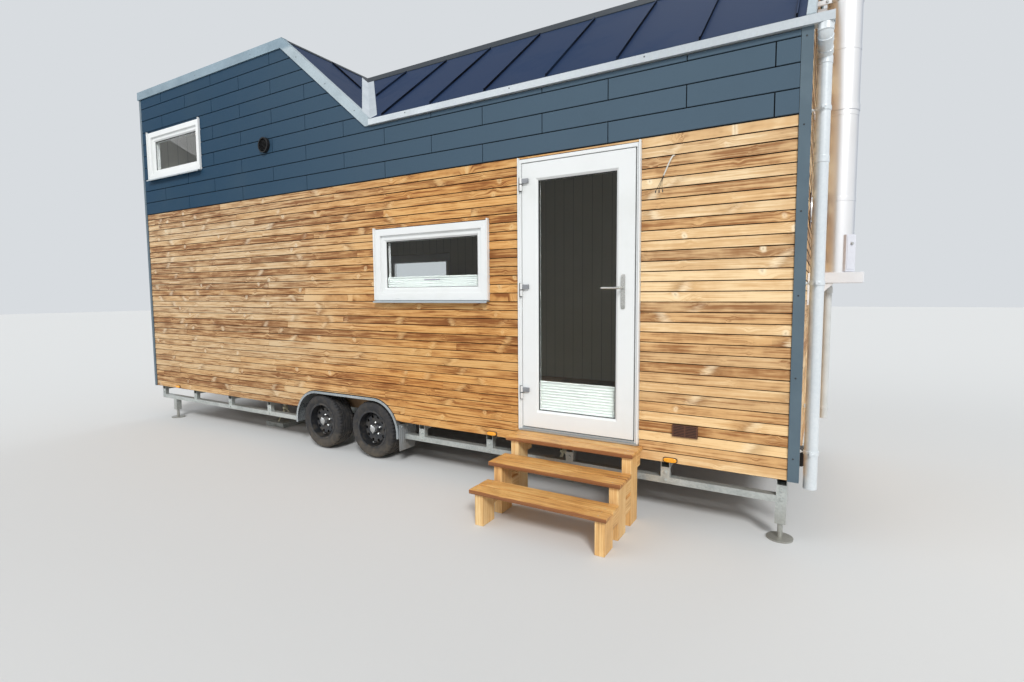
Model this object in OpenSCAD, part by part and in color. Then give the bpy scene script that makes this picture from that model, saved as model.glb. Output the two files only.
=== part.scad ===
/* [House body] */
// Length of the house over its corner trims
house_l = 7200; // [6600:50:8400]
// Width of the house over its siding
house_w = 2526; // [2300:2:2600]
// Height of the underside of the floor above the ground
floor_z = 390; // [370:5:420]
// Thickness of the floor deck
floor_t = 105; // [80:5:115]
// Thickness of the insulated wall panels
wall_t = 125; // [90:5:150]
// Depth of the dark siding on its battens
siding_t = 28; // [24:1:36]
// Depth of the wooden boards on their battens
clad_t = 22; // [16:1:23]
// Height of the wooden boards over the door, up to the dark siding
over_door = 21; // [14:1:60]
// Width of the corner trims at the door end
corner_w = 60; // [40:5:80]
// Width of the narrow corner trims at the loft end
corner_narrow_w = 40; // [38:1:55]

/* [Roof] */
// Height of the flat roof above the ground
flat_z = 3970; // [3900:5:4000]
// Height of the front eaves above the ground
eave_z = 3039; // [2960:1:3060]
// Pitch of the front slope in degrees
front_pitch = 40; // [36:1:44]
// Pitch of the slope that falls from the loft
side_pitch = 39.8; // [36:0.1:46]
// Length of the flat roof over the loft
loft_l = 2720; // [2500:1:3000]
// Thickness of the insulated roof panels
deck_t = 120; // [90:5:140]
// Thickness of the roof sheet on its boarding
sheet_t = 8; // [6:1:12]
// Height of the standing seams
seam_h = 18; // [15:1:35]
// Width of a standing seam
seam_t = 8; // [5:1:12]
// Distance between standing seams
seam_pitch = 523; // [430:0.5:600]
// Distance of the first seam from the door end
seam_first = 87; // [70:1:120]
// Height of the kerb round the flat roof
kerb_h = 12; // [8:1:40]
// Width of the kerb round the flat roof
kerb_w = 50; // [40:5:70]
// How far the kerb and edge trims stand proud of the siding
trim_proud = 12; // [8:1:16]
// Depth of the galvanised edge band below the roof surface
band_h = 80; // [60:2:90]

/* [Gutters and pipes] */
// Depth of the box gutters from front to back
gutter_d = 80; // [70:2:100]
// Height of the box gutters
gutter_h = 50; // [46:2:60]
// How far the front gutter's face stands proud of the siding
gutter_proud = 22; // [14:1:30]
// Sheet thickness of the gutters
gutter_t = 3; // [2:0.5:4]
// How far the gutters run past the door end
gutter_over = 100; // [96:2:130]
// Diameter of the rain downpipes
downpipe_d = 76; // [60:1:80]
// Gap between a downpipe and the end wall
downpipe_gap = 24; // [18:1:30]
// Distance of the downpipes from the house corner
downpipe_in = 142; // [130:1:200]
// Height of a downpipe's open end above the ground
downpipe_z = 325; // [200:5:400]

/* [Windows] */
// Width of the lower windows
low_w = 1194; // [1000:2:1300]
// Height of the lower windows
low_h = 615; // [560:1:650]
// Height of the lower windows above the ground
low_z = 1465; // [1400:1:1500]
// Space between the front lower window and the door
low_to_door = 269; // [200:1:320]
// Width of the loft windows
loft_w = 1101; // [900:1:1150]
// Height of the loft windows
loft_h = 548; // [500:1:570]
// Height of the loft windows above the ground
loft_z = 2922; // [2900:1:2960]
// Distance of the loft windows from the loft end
loft_x = 163; // [160:1:300]
// Distance of the back lower window from the loft end
back_x = 1700; // [1400:10:1900]
// Face width of the window frames
frame_face = 58; // [50:1:70]
// Face width of the window sashes
sash_face = 52; // [45:1:60]
// Thickness of the double glazing
glass_t = 24; // [20:1:30]
// Width of the casing strips beside windows and door
casing_t = 10; // [8:1:14]
// Height that the casing strips run past the head
casing_ear = 12; // [6:1:20]

/* [Door] */
// Width of the door frame
door_w = 920; // [880:2:960]
// Height of the door frame
door_h = 1995; // [1960:1:2000]
// Distance of the door frame from the door end
door_from_end = 960; // [900:5:1000]
// Face width of the door frame
door_face = 26; // [24:1:34]
// Width of the stiles and rails of the leaf
stile_w = 133; // [120:1:150]
// Thickness of the door leaf
leaf_t = 60; // [54:1:62]
// Running gap round the leaf
leaf_gap = 5; // [5:0.5:7]
// Running gap at the leaf's free edge
free_gap = 10; // [9:0.5:13]
// Diameter of the hinge knuckles
knuckle_d = 22; // [20:1:24]
// Height of a hinge
knuckle_h = 96; // [80:2:110]
// Diameter of the hinge pins
pin_d = 10; // [8:0.5:12]
// Length of the door levers
lever_l = 131; // [110:1:140]
// Diameter of the door levers
lever_d = 18; // [15:0.5:20]
// Height of the lever spindle above the door's foot
spindle_up = 1052; // [1000:1:1100]

/* [Undercarriage] */
// Distance of the axle pair's middle from the loft end
axles_x = 3397; // [3350:1:3450]
// Distance between the two axles
axle_pitch = 675; // [640:5:720]
// Height of the wheel hubs above the ground
hub_z = 275; // [273:1:285]
// Radius of the tyres
tyre_r = 262; // [245:1:266]
// Width of the tyres
tyre_w = 195; // [175:1:205]
// Radius of the rims at the bead seat
rim_r = 165; // [155:1:175]
// Gap between the tyres and the outer siding plane
tyre_in = 20; // [12:1:30]
// Radius of the mudguards over the tyres
guard_r = 300; // [295:1:310]
// How far the mudguards' ends reach past the hubs
guard_run = 45; // [35:1:55]
// Sheet thickness of the mudguards
guard_t = 4; // [3:0.5:6]
// Depth of the mudguards from the siding plane
guard_d = 240; // [232:1:260]
// Diameter of the wheel spindles
spindle_d = 40; // [34:1:46]
// Diameter of the axle tubes
axle_d = 70; // [60:1:76]
// Height of the slim side rails
rail_h = 44; // [36:2:60]
// Gap between the side rails and the crossmembers over them
rail_drop = 64; // [40:2:80]
// Width of the chassis rails
rail_w = 60; // [50:2:80]
// Height of the crossmembers
cross_h = 50; // [40:2:60]
// Side of the stand pads
pad_s = 300; // [250:10:340]
// Thickness of the stand pads
pad_t = 50; // [40:5:60]

/* [Steps] */
// Number of treads
treads = 3; // [3:1:3]
// Thickness of a tread board
tread_t = 28; // [24:1:34]
// Depth of a tread
tread_d = 228; // [210:2:250]
// Going from one tread to the next
going = 236; // [230:2:260]
// Rise from one tread to the next
rise = 121; // [110:1:135]
// Drop from the door's foot to the top tread
step_drop = 15; // [10:1:25]
// Width of the posts, across the steps
post_w = 62; // [50:2:80]
// Depth of the posts, along the going
post_d = 140; // [110:2:160]
// Distance of the treads' left ends from the door frame's edge
tread_in = 5; // [0:1:30]
// How far the treads run past the door frame's right edge
tread_past = 30; // [0:1:60]

/* [Flue] */
// Outer diameter of the insulated flue
flue_d = 200; // [160:2:220]
// Bore of the flue
flue_bore = 150; // [110:2:160]
// Height of the flue's mouth above the ground
flue_top = 5090; // [4900:10:5150]
// Gap between the flue and the end wall
flue_gap = 62; // [50:2:110]
// Distance of the flue from the front siding
flue_y = 808; // [760:2:900]
// Height of the console's underside
console_z = 1571; // [1500:1:1620]
// Thickness of the console
console_t = 69; // [50:1:80]
// Depth of the console from the end wall
console_l = 321; // [310:1:360]
// Diameter of the drain pipe under the console
drain_d = 50; // [40:1:56]
// Diameter of the round wall plate behind the tee
rose_d = 290; // [260:5:320]
// Diameter of the tee between the wall plate and the flue
tee_d = 116; // [100:2:130]

/* [Hidden] */
$fn = 48;

// Far more than any length of the house, for cutting solids
big = 12000;
// Clearance between curved faces and running fits
fit = 0.3;

// Levels of the walls
floor_top = floor_z + floor_t;
wall_out = siding_t;
wall_in = siding_t + wall_t;
end_out = house_l - siding_t;
board_face = siding_t - clad_t;
skin_back = house_w - siding_t;

// Places of the door and the windows
door_x = house_l - door_from_end - door_w;
door_z = floor_top;
siding_z = door_z + door_h + over_door;
low_x = door_x - low_to_door - low_w;
pvc_out = -8;
pvc_d = 78;

// Ridge, valley and slopes of the roof
front_slope = tan(front_pitch);
side_slope = tan(side_pitch);
ridge_y = (flat_z - eave_z) / front_slope;
valley_x = loft_l + (flat_z - eave_z) / side_slope;

// The front gutter lies in the foot of the front slope, under the sheet's edge
gutter_z1 = eave_z - sheet_t / cos(front_pitch) - fit;
gutter_z0 = gutter_z1 - gutter_h;
gutter_in = gutter_d - gutter_proud;

// Undercarriage levels and places
cross_z = floor_z - cross_h;
rail_z = cross_z - rail_drop - rail_h;
beam_h = 80;
beam_z = cross_z - beam_h;
beam_y = 480;
rail_y = 60;
wheel_x = [axles_x - axle_pitch / 2, axles_x + axle_pitch / 2];
guard_left = wheel_x[0] - guard_run;
guard_right = wheel_x[1] + guard_run;
arch_gap = fit;
box_t = 15;
box_gap = 20;
arm_t = 30;
arm_l = 160;
arm_gap = 20;
tube_z = beam_z - axle_d / 2 - 6;
stand_in = 1850;
stand_from_end = 1750;
stand_x = [stand_in, house_l - stand_from_end];
steady_in = 330;
steady_from_end = 95;
steady_x = [steady_in, house_l - steady_from_end];

// Steps in front of the door
step_top = door_z - step_drop;
step_gap = fit;
steps_y = board_face - step_gap;
step_front = steps_y - tread_d - (treads - 1) * going;

// Flue on the door end
board_end = house_l - board_face;
flue_x = board_end + flue_gap + flue_d / 2;
tee_z = 2080;
cowl_d = 250;

// Limits of the whole object, which put the origin at its middle
x_low = -trim_proud;
x_high = max(board_end + console_l, flue_x + cowl_d / 2);
y_low = step_front;
y_high = house_w + gutter_d;

// Moves the house so that the origin is on the ground under its middle
module at_home()
    translate([-(x_low + x_high) / 2, -(y_low + y_high) / 2, 0])
        children();

// A box from its lowest to its highest corner
module block(low, high)
    translate(low)
        cube(high - low);

// The pieces of the near side and their mirror images on the far side
module both_sides() {
    children();
    far_side() children();
}

// The mirror image on the far side of the house
module far_side()
    translate([0, house_w, 0])
        mirror([0, 1, 0])
            children();

// An outline in X and Z, given a thickness along Y
module wall_shape(y0, y1)
    translate([0, y1, 0])
        rotate([90, 0, 0])
            linear_extrude(y1 - y0)
                children();

// An outline in Y and Z, given a length along X
module end_shape(x0, x1)
    translate([x0, 0, 0])
        rotate([90, 0, 90])
            linear_extrude(x1 - x0)
                children();

// Everything under the roof surface, lowered at right angles by a drop
module roof_form(drop) {
    top = flat_z - drop;
    front_low = eave_z - drop / cos(front_pitch);
    side_low = flat_z - drop / cos(side_pitch);
    end_shape(-big, big)
        polygon([[-big, front_low - big * front_slope], [(top - front_low) / front_slope, top],
                 [big, top], [big, -big]]);
    wall_shape(-big, big)
        polygon([[-big, -big], [-big, top], [loft_l + (side_low - top) / side_slope, top],
                 [big, side_low - (big - loft_l) * side_slope], [big, -big * 2]]);
}

// A layer of the roof between two drops below its surface
module roof_layer(from, to)
    difference() {
        roof_form(from);
        roof_form(to);
    }

// The space that the front gutter takes in the slope, the siding and the trims
module gutter_space()
    block([valley_x - fit, -big / 2, gutter_z0], [big, gutter_in + fit, big]);

// Plan of the flat roof
module flat_plan(x0, y0, x1, y1)
    polygon([[x0, y0], [loft_l, y0], [loft_l, ridge_y], [x1, ridge_y], [x1, y1], [x0, y1]]);

// Plan of the front slope, which ends at the valley
module front_plan(y0, x1)
    polygon([[valley_x - y0 * (valley_x - loft_l) / ridge_y, y0], [x1, y0], [x1, ridge_y],
             [loft_l, ridge_y]]);

// Plan of the slope that falls from the loft, a triangle
module side_plan(y0)
    polygon([[loft_l, y0], [valley_x - y0 * (valley_x - loft_l) / ridge_y, y0],
             [loft_l, ridge_y]]);

// The outline of the pair of mudguards, grown by a margin
module guard_outline(grow) {
    hull() {
        translate([guard_left, hub_z])
            circle(guard_r + grow);
        translate([guard_right, hub_z])
            circle(guard_r + grow);
    }
}

// The arch that leaves room for the wheels, cut from the bottom of a wall
module wheel_arch(y0, y1, grow)
    wall_shape(y0, y1) {
        translate([guard_left, hub_z])
            circle(guard_r + grow);
        translate([guard_right, hub_z])
            circle(guard_r + grow);
        translate([guard_left, hub_z])
            square([guard_right - guard_left, guard_r + grow]);
        translate([guard_left - guard_r - grow, 0])
            square([guard_right - guard_left + 2 * (guard_r + grow), hub_z]);
    }

// A slotted channel rail along X, open towards the middle of the house
module channel(x0, x1, y0, z0, w, h, t) {
    block([x0, y0, z0], [x1, y0 + t, z0 + h]);
    block([x0, y0, z0], [x1, y0 + w, z0 + t]);
    block([x0, y0, z0 + h - t], [x1, y0 + w, z0 + h]);
}

// Side rails on short uprights, and main beams; the wheels interrupt the side rails
rail_t = 6;
rail_end = 60;
rail_clear = 30;
upright_d = 40;
cross_w = 60;
cross_n = 11;
cross_tube = 4;
function cross_x(i) = rail_end + i * (house_l - 2 * rail_end - cross_w) / (cross_n - 1);
function in_arch(x) = x + cross_w > guard_left - guard_r - rail_clear
                      && x < guard_right + guard_r + rail_clear;
module chassis_rails()
    color("gainsboro")
        at_home()
            both_sides() {
                channel(rail_end, guard_left - guard_r - rail_clear, rail_y, rail_z,
                        rail_w, rail_h, rail_t);
                channel(guard_right + guard_r + rail_clear, house_l - rail_end, rail_y, rail_z,
                        rail_w, rail_h, rail_t);
                channel(rail_end, house_l - rail_end, beam_y, beam_z, rail_w, beam_h, rail_t);
                for (i = [0 : cross_n - 1])
                    if (!in_arch(cross_x(i)))
                        block([cross_x(i), rail_y, rail_z + rail_h - 1],
                              [cross_x(i) + cross_w, rail_y + upright_d, cross_z]);
            }

// Crossmembers that carry the floor, at an even pitch between the ends
module crossmembers()
    color("lightgray")
        at_home()
            for (i = [0 : cross_n - 1]) {
                x = cross_x(i);
                y = in_arch(x) ? guard_d + box_gap + rail_y : rail_y;
                difference() {
                    block([x, y, cross_z], [x + cross_w, house_w - y, floor_z]);
                    block([x + cross_tube, y - 1, cross_z + cross_tube],
                          [x + cross_w - cross_tube, house_w - y + 1, floor_z - cross_tube]);
                }
            }

// Two sprung axles: a tube under the beams, an arm at each end and a spindle
hub_in = 30;
module axles()
    color("darkgray")
        at_home()
            for (x = wheel_x) {
                arm_y = tyre_in + tyre_w + arm_gap;
                translate([x - arm_l, arm_y, tube_z])
                    rotate([-90, 0, 0])
                        cylinder(d = axle_d, h = house_w - 2 * arm_y);
                both_sides() {
                    block([x - arm_l - axle_d / 2, beam_y, tube_z],
                          [x - arm_l + axle_d / 2, beam_y + rail_w, beam_z]);
                    wall_shape(arm_y, arm_y + arm_t)
                        hull() {
                            translate([x, hub_z])
                                circle(d = spindle_d + 20, $fn = 32);
                            translate([x - arm_l, tube_z])
                                circle(d = axle_d + 10, $fn = 32);
                        }
                    translate([x, arm_y + 1, hub_z])
                        rotate([90, 0, 0])
                            cylinder(d = spindle_d, h = arm_gap + tyre_w - hub_in + 1);
                }
            }

// Puts a wheel on its spindle, with local +Z pointing outwards
module on_hub(x)
    translate([x, tyre_in + tyre_w / 2, hub_z])
        rotate([90, 0, 0])
            children();

// A tyre with rounded shoulders and four tread grooves
tyre_bead = 16;
bead_in = 12;
tyre_bulge = 14;
groove = 7;
module tyre(x)
    on_hub(x)
        rotate_extrude($fn = 96)
            difference() {
                hw = tyre_w / 2;
                polygon([[rim_r + fit, -hw + bead_in + tyre_bead], [rim_r + fit, -hw + bead_in],
                         [rim_r + 20, -hw + bead_in], [rim_r + 48, -hw], [tyre_r - 30, -hw + 4],
                         [tyre_r - 8, -hw + 18], [tyre_r, -hw + 34], [tyre_r, hw - 34],
                         [tyre_r - 8, hw - 18], [tyre_r - 30, hw - 4], [rim_r + 48, hw],
                         [rim_r + 20, hw - bead_in], [rim_r + fit, hw - bead_in],
                         [rim_r + fit, hw - bead_in - tyre_bead], [rim_r + 26, hw - 32],
                         [tyre_r - tyre_bulge - 6, hw - 30], [tyre_r - tyre_bulge, 0],
                         [tyre_r - tyre_bulge - 6, -hw + 30], [rim_r + 26, -hw + 32]]);
                for (g = [-1.5 : 1 : 1.5])
                    translate([tyre_r - groove, g * tyre_w / 6 - groove / 2])
                        square([groove + 1, groove]);
            }

// A steel rim: barrel with flanges, dished disc with round holes, hub with a bore
rim_t = 5;
flange_h = 13;
disc_z = 18;
hub_r = 46;
holes = 10;
module rim(x)
    on_hub(x)
        difference() {
            union() {
                rotate_extrude($fn = 96) {
                    hw = tyre_w / 2 - bead_in + fit;
                    polygon([[rim_r - rim_t, -hw - rim_t], [rim_r + flange_h, -hw - rim_t],
                             [rim_r + flange_h, -hw], [rim_r, -hw], [rim_r, hw],
                             [rim_r + flange_h, hw], [rim_r + flange_h, hw + rim_t],
                             [rim_r - rim_t, hw + rim_t]]);
                }
                rotate_extrude($fn = 96)
                    polygon([[hub_r - 2, disc_z + 14], [rim_r - 45, disc_z + 26],
                             [rim_r - rim_t + 1, disc_z], [rim_r - rim_t + 1, disc_z - 8],
                             [rim_r - 48, disc_z + 18], [hub_r - 2, disc_z + 4]]);
                rotate_extrude($fn = 96)
                    polygon([[spindle_d / 2 + fit, -50], [hub_r, -50], [hub_r, disc_z + 22],
                             [hub_r - 12, disc_z + 40], [spindle_d / 2 + fit, disc_z + 40]]);
            }
            for (i = [0 : holes - 1])
                rotate(i * 360 / holes)
                    translate([rim_r - 52, 0, 0])
                        cylinder(r = 15, h = 60, $fn = 24);
        }

module tyre_fore_near() color("#26282a") at_home() tyre(wheel_x[0]);
module tyre_aft_near() color("#26282a") at_home() tyre(wheel_x[1]);
module tyre_fore_far() color("#26282a") at_home() far_side() tyre(wheel_x[0]);
module tyre_aft_far() color("#26282a") at_home() far_side() tyre(wheel_x[1]);
module rim_fore_near() color("#3a3d40") at_home() rim(wheel_x[0]);
module rim_aft_near() color("#3a3d40") at_home() rim(wheel_x[1]);
module rim_fore_far() color("#3a3d40") at_home() far_side() rim(wheel_x[0]);
module rim_aft_far() color("#3a3d40") at_home() far_side() rim(wheel_x[1]);

// Galvanised mudguards over each pair of wheels, with a rolled outer edge
guard_lip = 22;
module guard_skin(y0, y1, inner)
    intersection() {
        difference() {
            wheel_arch(y0, y1, 0);
            wheel_arch(y0 - 1, y1 + 1, -inner);
        }
        block([-big, y0 - 1, hub_z - 40], [big, y1 + 1, big]);
    }
module mudguards()
    color("silver")
        at_home()
            both_sides() {
                guard_skin(0, guard_d, guard_t);
                guard_skin(0, guard_t, guard_lip);
            }

// Rubber flaps behind the wheels, hung on the mudguards' ends
flap_t = 6;
flap_w = 200;
flap_h = 235;
flap_z = 125;
module mud_flaps()
    color("#8c9196")
        at_home()
            both_sides()
                block([guard_right + guard_r, 15, flap_z],
                      [guard_right + guard_r + flap_t, 15 + flap_w, flap_z + flap_h]);

// Telescopic corner legs with a round foot under the ends of the side rails
foot_s = 150;
foot_t = 10;
leg_s = 60;
leg_z = 100;
module corner_steadies()
    color("silver")
        at_home()
            both_sides()
                for (x = steady_x)
                    translate([x, rail_y + rail_w / 2, 0]) {
                        cylinder(d = foot_s, h = foot_t);
                        cylinder(d = 30, h = leg_z + 1);
                        translate([-leg_s / 2, -leg_s / 2, leg_z])
                            cube([leg_s, leg_s, rail_z - leg_z]);
                    }

// Screw stands on three splayed rods, between the pads and the main beams
head_z = 205;
head_d = 60;
rod_d = 18;
rod_run = 95;
rod_l = norm([rod_run, head_z - pad_t]);
plate_s = 90;
plate_t = 8;
module support_stands()
    color("#c9c4a8")
        at_home()
            both_sides()
                for (x = stand_x)
                    translate([x, beam_y + rail_w / 2, 0]) {
                        intersection() {
                            for (a = [30, 150, 270])
                                rotate(a)
                                    translate([rod_run, 0, pad_t])
                                        rotate([0, -atan(rod_run / (head_z - pad_t)), 0])
                                            translate([0, 0, -20])
                                                cylinder(d = rod_d, h = rod_l + 20);
                            cylinder_between(pad_t, head_z, 2 * pad_s);
                        }
                        translate([0, 0, head_z - 18])
                            cylinder(d = head_d, h = 22);
                        cylinder_between(head_z, beam_z - plate_t + 1, 26);
                        translate([-plate_s / 2, -plate_s / 2, beam_z - plate_t])
                            cube([plate_s, plate_s, plate_t]);
                    }

// An upright cylinder between two levels
module cylinder_between(z0, z1, d)
    translate([0, 0, z0])
        cylinder(d = d, h = z1 - z0);

// Square pads on the ground under the stands
module stand_pads()
    color("#9aa09c")
        at_home()
            both_sides()
                for (x = stand_x)
                    translate([x, beam_y + rail_w / 2, 0])
                        block([-pad_s / 2, -pad_s / 2, 0], [pad_s / 2, pad_s / 2, pad_t]);

// Amber side lamps on the lowest board
marker_w = 95;
marker_h = 36;
marker_t = 16;
marker_up = 6;
marker_in = 480;
marker_before_door = 305;
marker_past_door = 166;
marker_x = [marker_in, door_x - marker_before_door, door_x + door_w + marker_past_door];
module side_markers()
    color("orange")
        at_home()
            both_sides()
                for (x = marker_x)
                    translate([x, board_face - marker_t, floor_z + marker_up])
                        cube([marker_w, marker_t, marker_h]);

// Red tail lamps low on the door end
tail_w = 120;
tail_h = 110;
tail_t = 34;
tail_in = 200;
tail_up = 40;
module tail_lamps()
    color("firebrick")
        at_home()
            both_sides()
                block([board_end, tail_in, floor_z + tail_up],
                      [board_end + tail_t, tail_in + tail_w, floor_z + tail_up + tail_h]);

// The floor deck, cut out over the wheels and closed there by a box on each side
module floor_deck()
    color("burlywood")
        at_home() {
            well_x0 = guard_left - guard_r - box_gap;
            well_x1 = guard_right + guard_r + box_gap;
            well_y = guard_d + box_gap;
            well_z = hub_z + guard_r + box_gap;
            difference() {
                block([wall_out, wall_out, floor_z], [end_out, house_w - wall_out, floor_top]);
                both_sides()
                    block([well_x0, -1, 0], [well_x1, well_y, big]);
            }
            both_sides()
                difference() {
                    block([well_x0 - box_t, wall_in, floor_z], [well_x1 + box_t, well_y + box_t,
                          well_z + box_t]);
                    block([well_x0, -1, 0], [well_x1, well_y, well_z]);
                    block([well_x0 - big, -1, 0], [well_x0, big, floor_z]);
                }
        }

// A wall panel along X, standing on the floor and cut to the roof
module panel_x(x0, x1, y0, y1)
    intersection() {
        block([x0, y0, floor_top], [x1, y1, big]);
        roof_form(sheet_t + deck_t);
    }

// Round hole of the loft vent
vent_x = 2392;
vent_z = 3018;
vent_d = 150;
module vent_hole(d)
    translate([vent_x, -1, vent_z])
        rotate([-90, 0, 0])
            cylinder(d = d, h = wall_in + 2);

// The clear space that a window takes in a wall
module window_space(x, z, w, h)
    block([x, -big / 2, z], [x + w, wall_in + 1, z + h]);

// Front wall from the loft end to the door
module front_wall_left()
    color("white")
        at_home()
            difference() {
                panel_x(wall_in, door_x, wall_out, wall_in);
                window_space(low_x, low_z, low_w, low_h);
                window_space(loft_x, loft_z, loft_w, loft_h);
                vent_hole(vent_d - 40);
                wheel_arch(-1, wall_in + 1, arch_gap);
            }

// Front wall over the door
module front_wall_over_door()
    color("white")
        at_home()
            difference() {
                panel_x(door_x, door_x + door_w, wall_out, wall_in);
                block([0, 0, 0], [big, wall_in + 1, door_z + door_h]);
            }

// Front wall between the door and the door end
module front_wall_right()
    color("white")
        at_home()
            panel_x(door_x + door_w, house_l - wall_in, wall_out, wall_in);

// Back wall, up to the flat roof
module back_wall()
    color("white")
        at_home()
            difference() {
                panel_x(wall_in, house_l - wall_in, house_w - wall_in, skin_back);
                far_side() {
                    window_space(back_x, low_z, low_w, low_h);
                    window_space(loft_x, loft_z, loft_w, loft_h);
                    wheel_arch(-1, wall_in + 1, arch_gap);
                }
            }

// End wall under the loft
module loft_end_wall()
    color("white")
        at_home()
            panel_x(wall_out, wall_in, wall_out, skin_back);

// End wall beside the door, with the hole for the stove pipe
pipe_d = 150;
module door_end_wall()
    color("white")
        at_home()
            difference() {
                panel_x(house_l - wall_in, end_out, wall_out, skin_back);
                translate([house_l - wall_in - 1, flue_y, tee_z])
                    rotate([0, 90, 0])
                        cylinder(d = pipe_d + 2 * fit, h = wall_t + 2);
            }

// The face of the boards on the front, between the corner trims
module board_skin(y0, y1)
    block([corner_narrow_w, y0, floor_z], [house_l - corner_w, y1, siding_z]);

// Horizontal wooden boards of the front
module cladding_front()
    color("peru")
        at_home()
            difference() {
                board_skin(board_face, wall_out);
                block([door_x, -1, door_z - strip_h], [door_x + door_w, big, door_z + door_h]);
                window_space(low_x, low_z, low_w, low_h);
                wheel_arch(-1, wall_out + 1, arch_gap);
            }

// Horizontal wooden boards of the back
module cladding_back()
    color("peru")
        at_home()
            far_side()
                difference() {
                    board_skin(board_face, wall_out);
                    window_space(back_x, low_z, low_w, low_h);
                    wheel_arch(-1, wall_out + 1, arch_gap);
                }

// Wooden boards of the loft end
module cladding_loft_end()
    color("peru")
        at_home()
            block([board_face, corner_narrow_w, floor_z],
                  [wall_out, house_w - corner_narrow_w, siding_z]);

// Wooden boards of the door end, over its full height
module cladding_door_end()
    color("peru")
        at_home()
            difference() {
                intersection() {
                    block([end_out, corner_w, floor_z], [board_end, house_w - corner_w, big]);
                    roof_form(sheet_t);
                }
                translate([end_out - 1, flue_y, tee_z])
                    rotate([0, 90, 0])
                        cylinder(d = pipe_d + 2 * fit, h = clad_t + 2);
                gutter_space();
            }

// Dark planks of the front, over the boards and up to the roof's edge
module siding_front()
    color("#3c4a55")
        at_home()
            difference() {
                intersection() {
                    block([corner_narrow_w, 0, siding_z], [house_l - corner_w, wall_out, big]);
                    roof_form(sheet_t);
                }
                window_space(loft_x, loft_z, loft_w, loft_h);
                vent_hole(vent_d - 40);
                gutter_space();
            }

// Dark planks of the back
module siding_back()
    color("#3c4a55")
        at_home()
            difference() {
                intersection() {
                    block([corner_narrow_w, skin_back, siding_z],
                          [house_l - corner_w, house_w, big]);
                    roof_form(sheet_t);
                }
                far_side()
                    window_space(loft_x, loft_z, loft_w, loft_h);
            }

// Dark planks of the loft end
module siding_loft_end()
    color("#3c4a55")
        at_home()
            intersection() {
                block([0, corner_narrow_w, siding_z], [wall_out, house_w - corner_narrow_w, big]);
                roof_form(sheet_t);
            }

// Folded angles that cover the four corners
module corner_trims()
    color("#8a959b")
        at_home()
            difference() {
                intersection() {
                    both_sides() {
                        block([0, 0, floor_z], [corner_narrow_w, wall_out, big]);
                        block([0, 0, floor_z], [wall_out, corner_narrow_w, big]);
                        block([house_l - corner_w, 0, floor_z], [house_l, wall_out, big]);
                        block([end_out, 0, floor_z], [house_l, corner_w, big]);
                    }
                    roof_form(sheet_t);
                }
                gutter_space();
            }

// Insulated panels of the flat roof
module roof_flat()
    color("white")
        at_home()
            intersection() {
                linear_extrude(big)
                    flat_plan(wall_out, wall_out, end_out, skin_back);
                roof_layer(sheet_t, sheet_t + deck_t);
            }

// Insulated panel of the front slope, its foot cut out for the gutter
module roof_front_slope()
    color("white")
        at_home()
            difference() {
                intersection() {
                    linear_extrude(big)
                        front_plan(wall_out, end_out);
                    roof_layer(sheet_t, sheet_t + deck_t);
                }
                gutter_space();
            }

// Insulated panel of the slope beside the loft
module roof_side_slope()
    color("white")
        at_home()
            intersection() {
                linear_extrude(big)
                    side_plan(wall_out);
                roof_layer(sheet_t, sheet_t + deck_t);
            }

// Seam lines at the even pitch, counted from the door end
seam_n = floor((house_l - seam_first - 60) / seam_pitch);
seam_stop = 180;
module seam_slabs()
    for (i = [0 : seam_n]) {
        x = house_l - seam_first - i * seam_pitch;
        block([x - seam_t / 2, -1, 0], [x + seam_t / 2, house_w + 1, big]);
    }

// Metal sheet of the flat roof with its standing seams
module sheet_flat()
    color("#39434c")
        at_home() {
            intersection() {
                linear_extrude(big)
                    flat_plan(0, 0, house_l, house_w);
                roof_layer(0, sheet_t);
            }
            intersection() {
                linear_extrude(big)
                    flat_plan(kerb_w, kerb_w, house_l - kerb_w, house_w);
                roof_layer(-seam_h, 1);
                seam_slabs();
                union() {
                    block([0, kerb_w + 30, 0], [loft_l - cap_w - 10, house_w, big]);
                    block([loft_l - cap_w - 10, ridge_y + cap_w + 10, 0], [big, house_w, big]);
                }
            }
        }

// Metal sheet of the front slope, its seams stopped below the ridge cap
module sheet_front_slope()
    color("#39434c")
        at_home() {
            intersection() {
                linear_extrude(big)
                    front_plan(0, house_l);
                roof_layer(0, sheet_t);
            }
            intersection() {
                linear_extrude(big)
                    difference() {
                        front_plan(2, house_l);
                        translate([0, ridge_y - seam_stop])
                            square([big, big]);
                        valley_plan(valley_w + 8);
                    }
                roof_layer(-seam_h, 1);
                seam_slabs();
            }
        }

// Metal sheet of the slope beside the loft, with one seam down its middle
module sheet_side_slope()
    color("#39434c")
        at_home() {
            intersection() {
                linear_extrude(big)
                    side_plan(0);
                roof_layer(0, sheet_t);
            }
            intersection() {
                linear_extrude(big)
                    difference() {
                        side_plan(2);
                        square([loft_l + seam_h + 40, big]);
                        valley_plan(valley_w + 8);
                    }
                roof_layer(-seam_h, 1);
                block([0, (ridge_y - seam_t) / 2, 0], [big, (ridge_y + seam_t) / 2, big]);
            }
        }

// Plan of a strip along the valley, reaching a width to each side
module valley_plan(w) {
    a = atan2(ridge_y, loft_l - valley_x);
    translate([valley_x, 0])
        rotate(a)
            translate([0, -w])
                square([big / 4, 2 * w]);
}

// Folded caps along the two upper edges of the slopes
cap_w = 95;
cap_t = 6;
cap_down = 150;
module ridge_caps()
    color("#2d353c")
        at_home()
            intersection() {
                roof_layer(-cap_t, 0);
                linear_extrude(big)
                    union() {
                        translate([loft_l + cap_w / 2, ridge_y - cap_down])
                            square([house_l - loft_l - cap_w / 2, cap_down + cap_w]);
                        translate([loft_l - cap_w, kerb_w])
                            square([cap_w * 3 / 2, ridge_y - kerb_w + cap_w]);
                    }
            }

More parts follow.
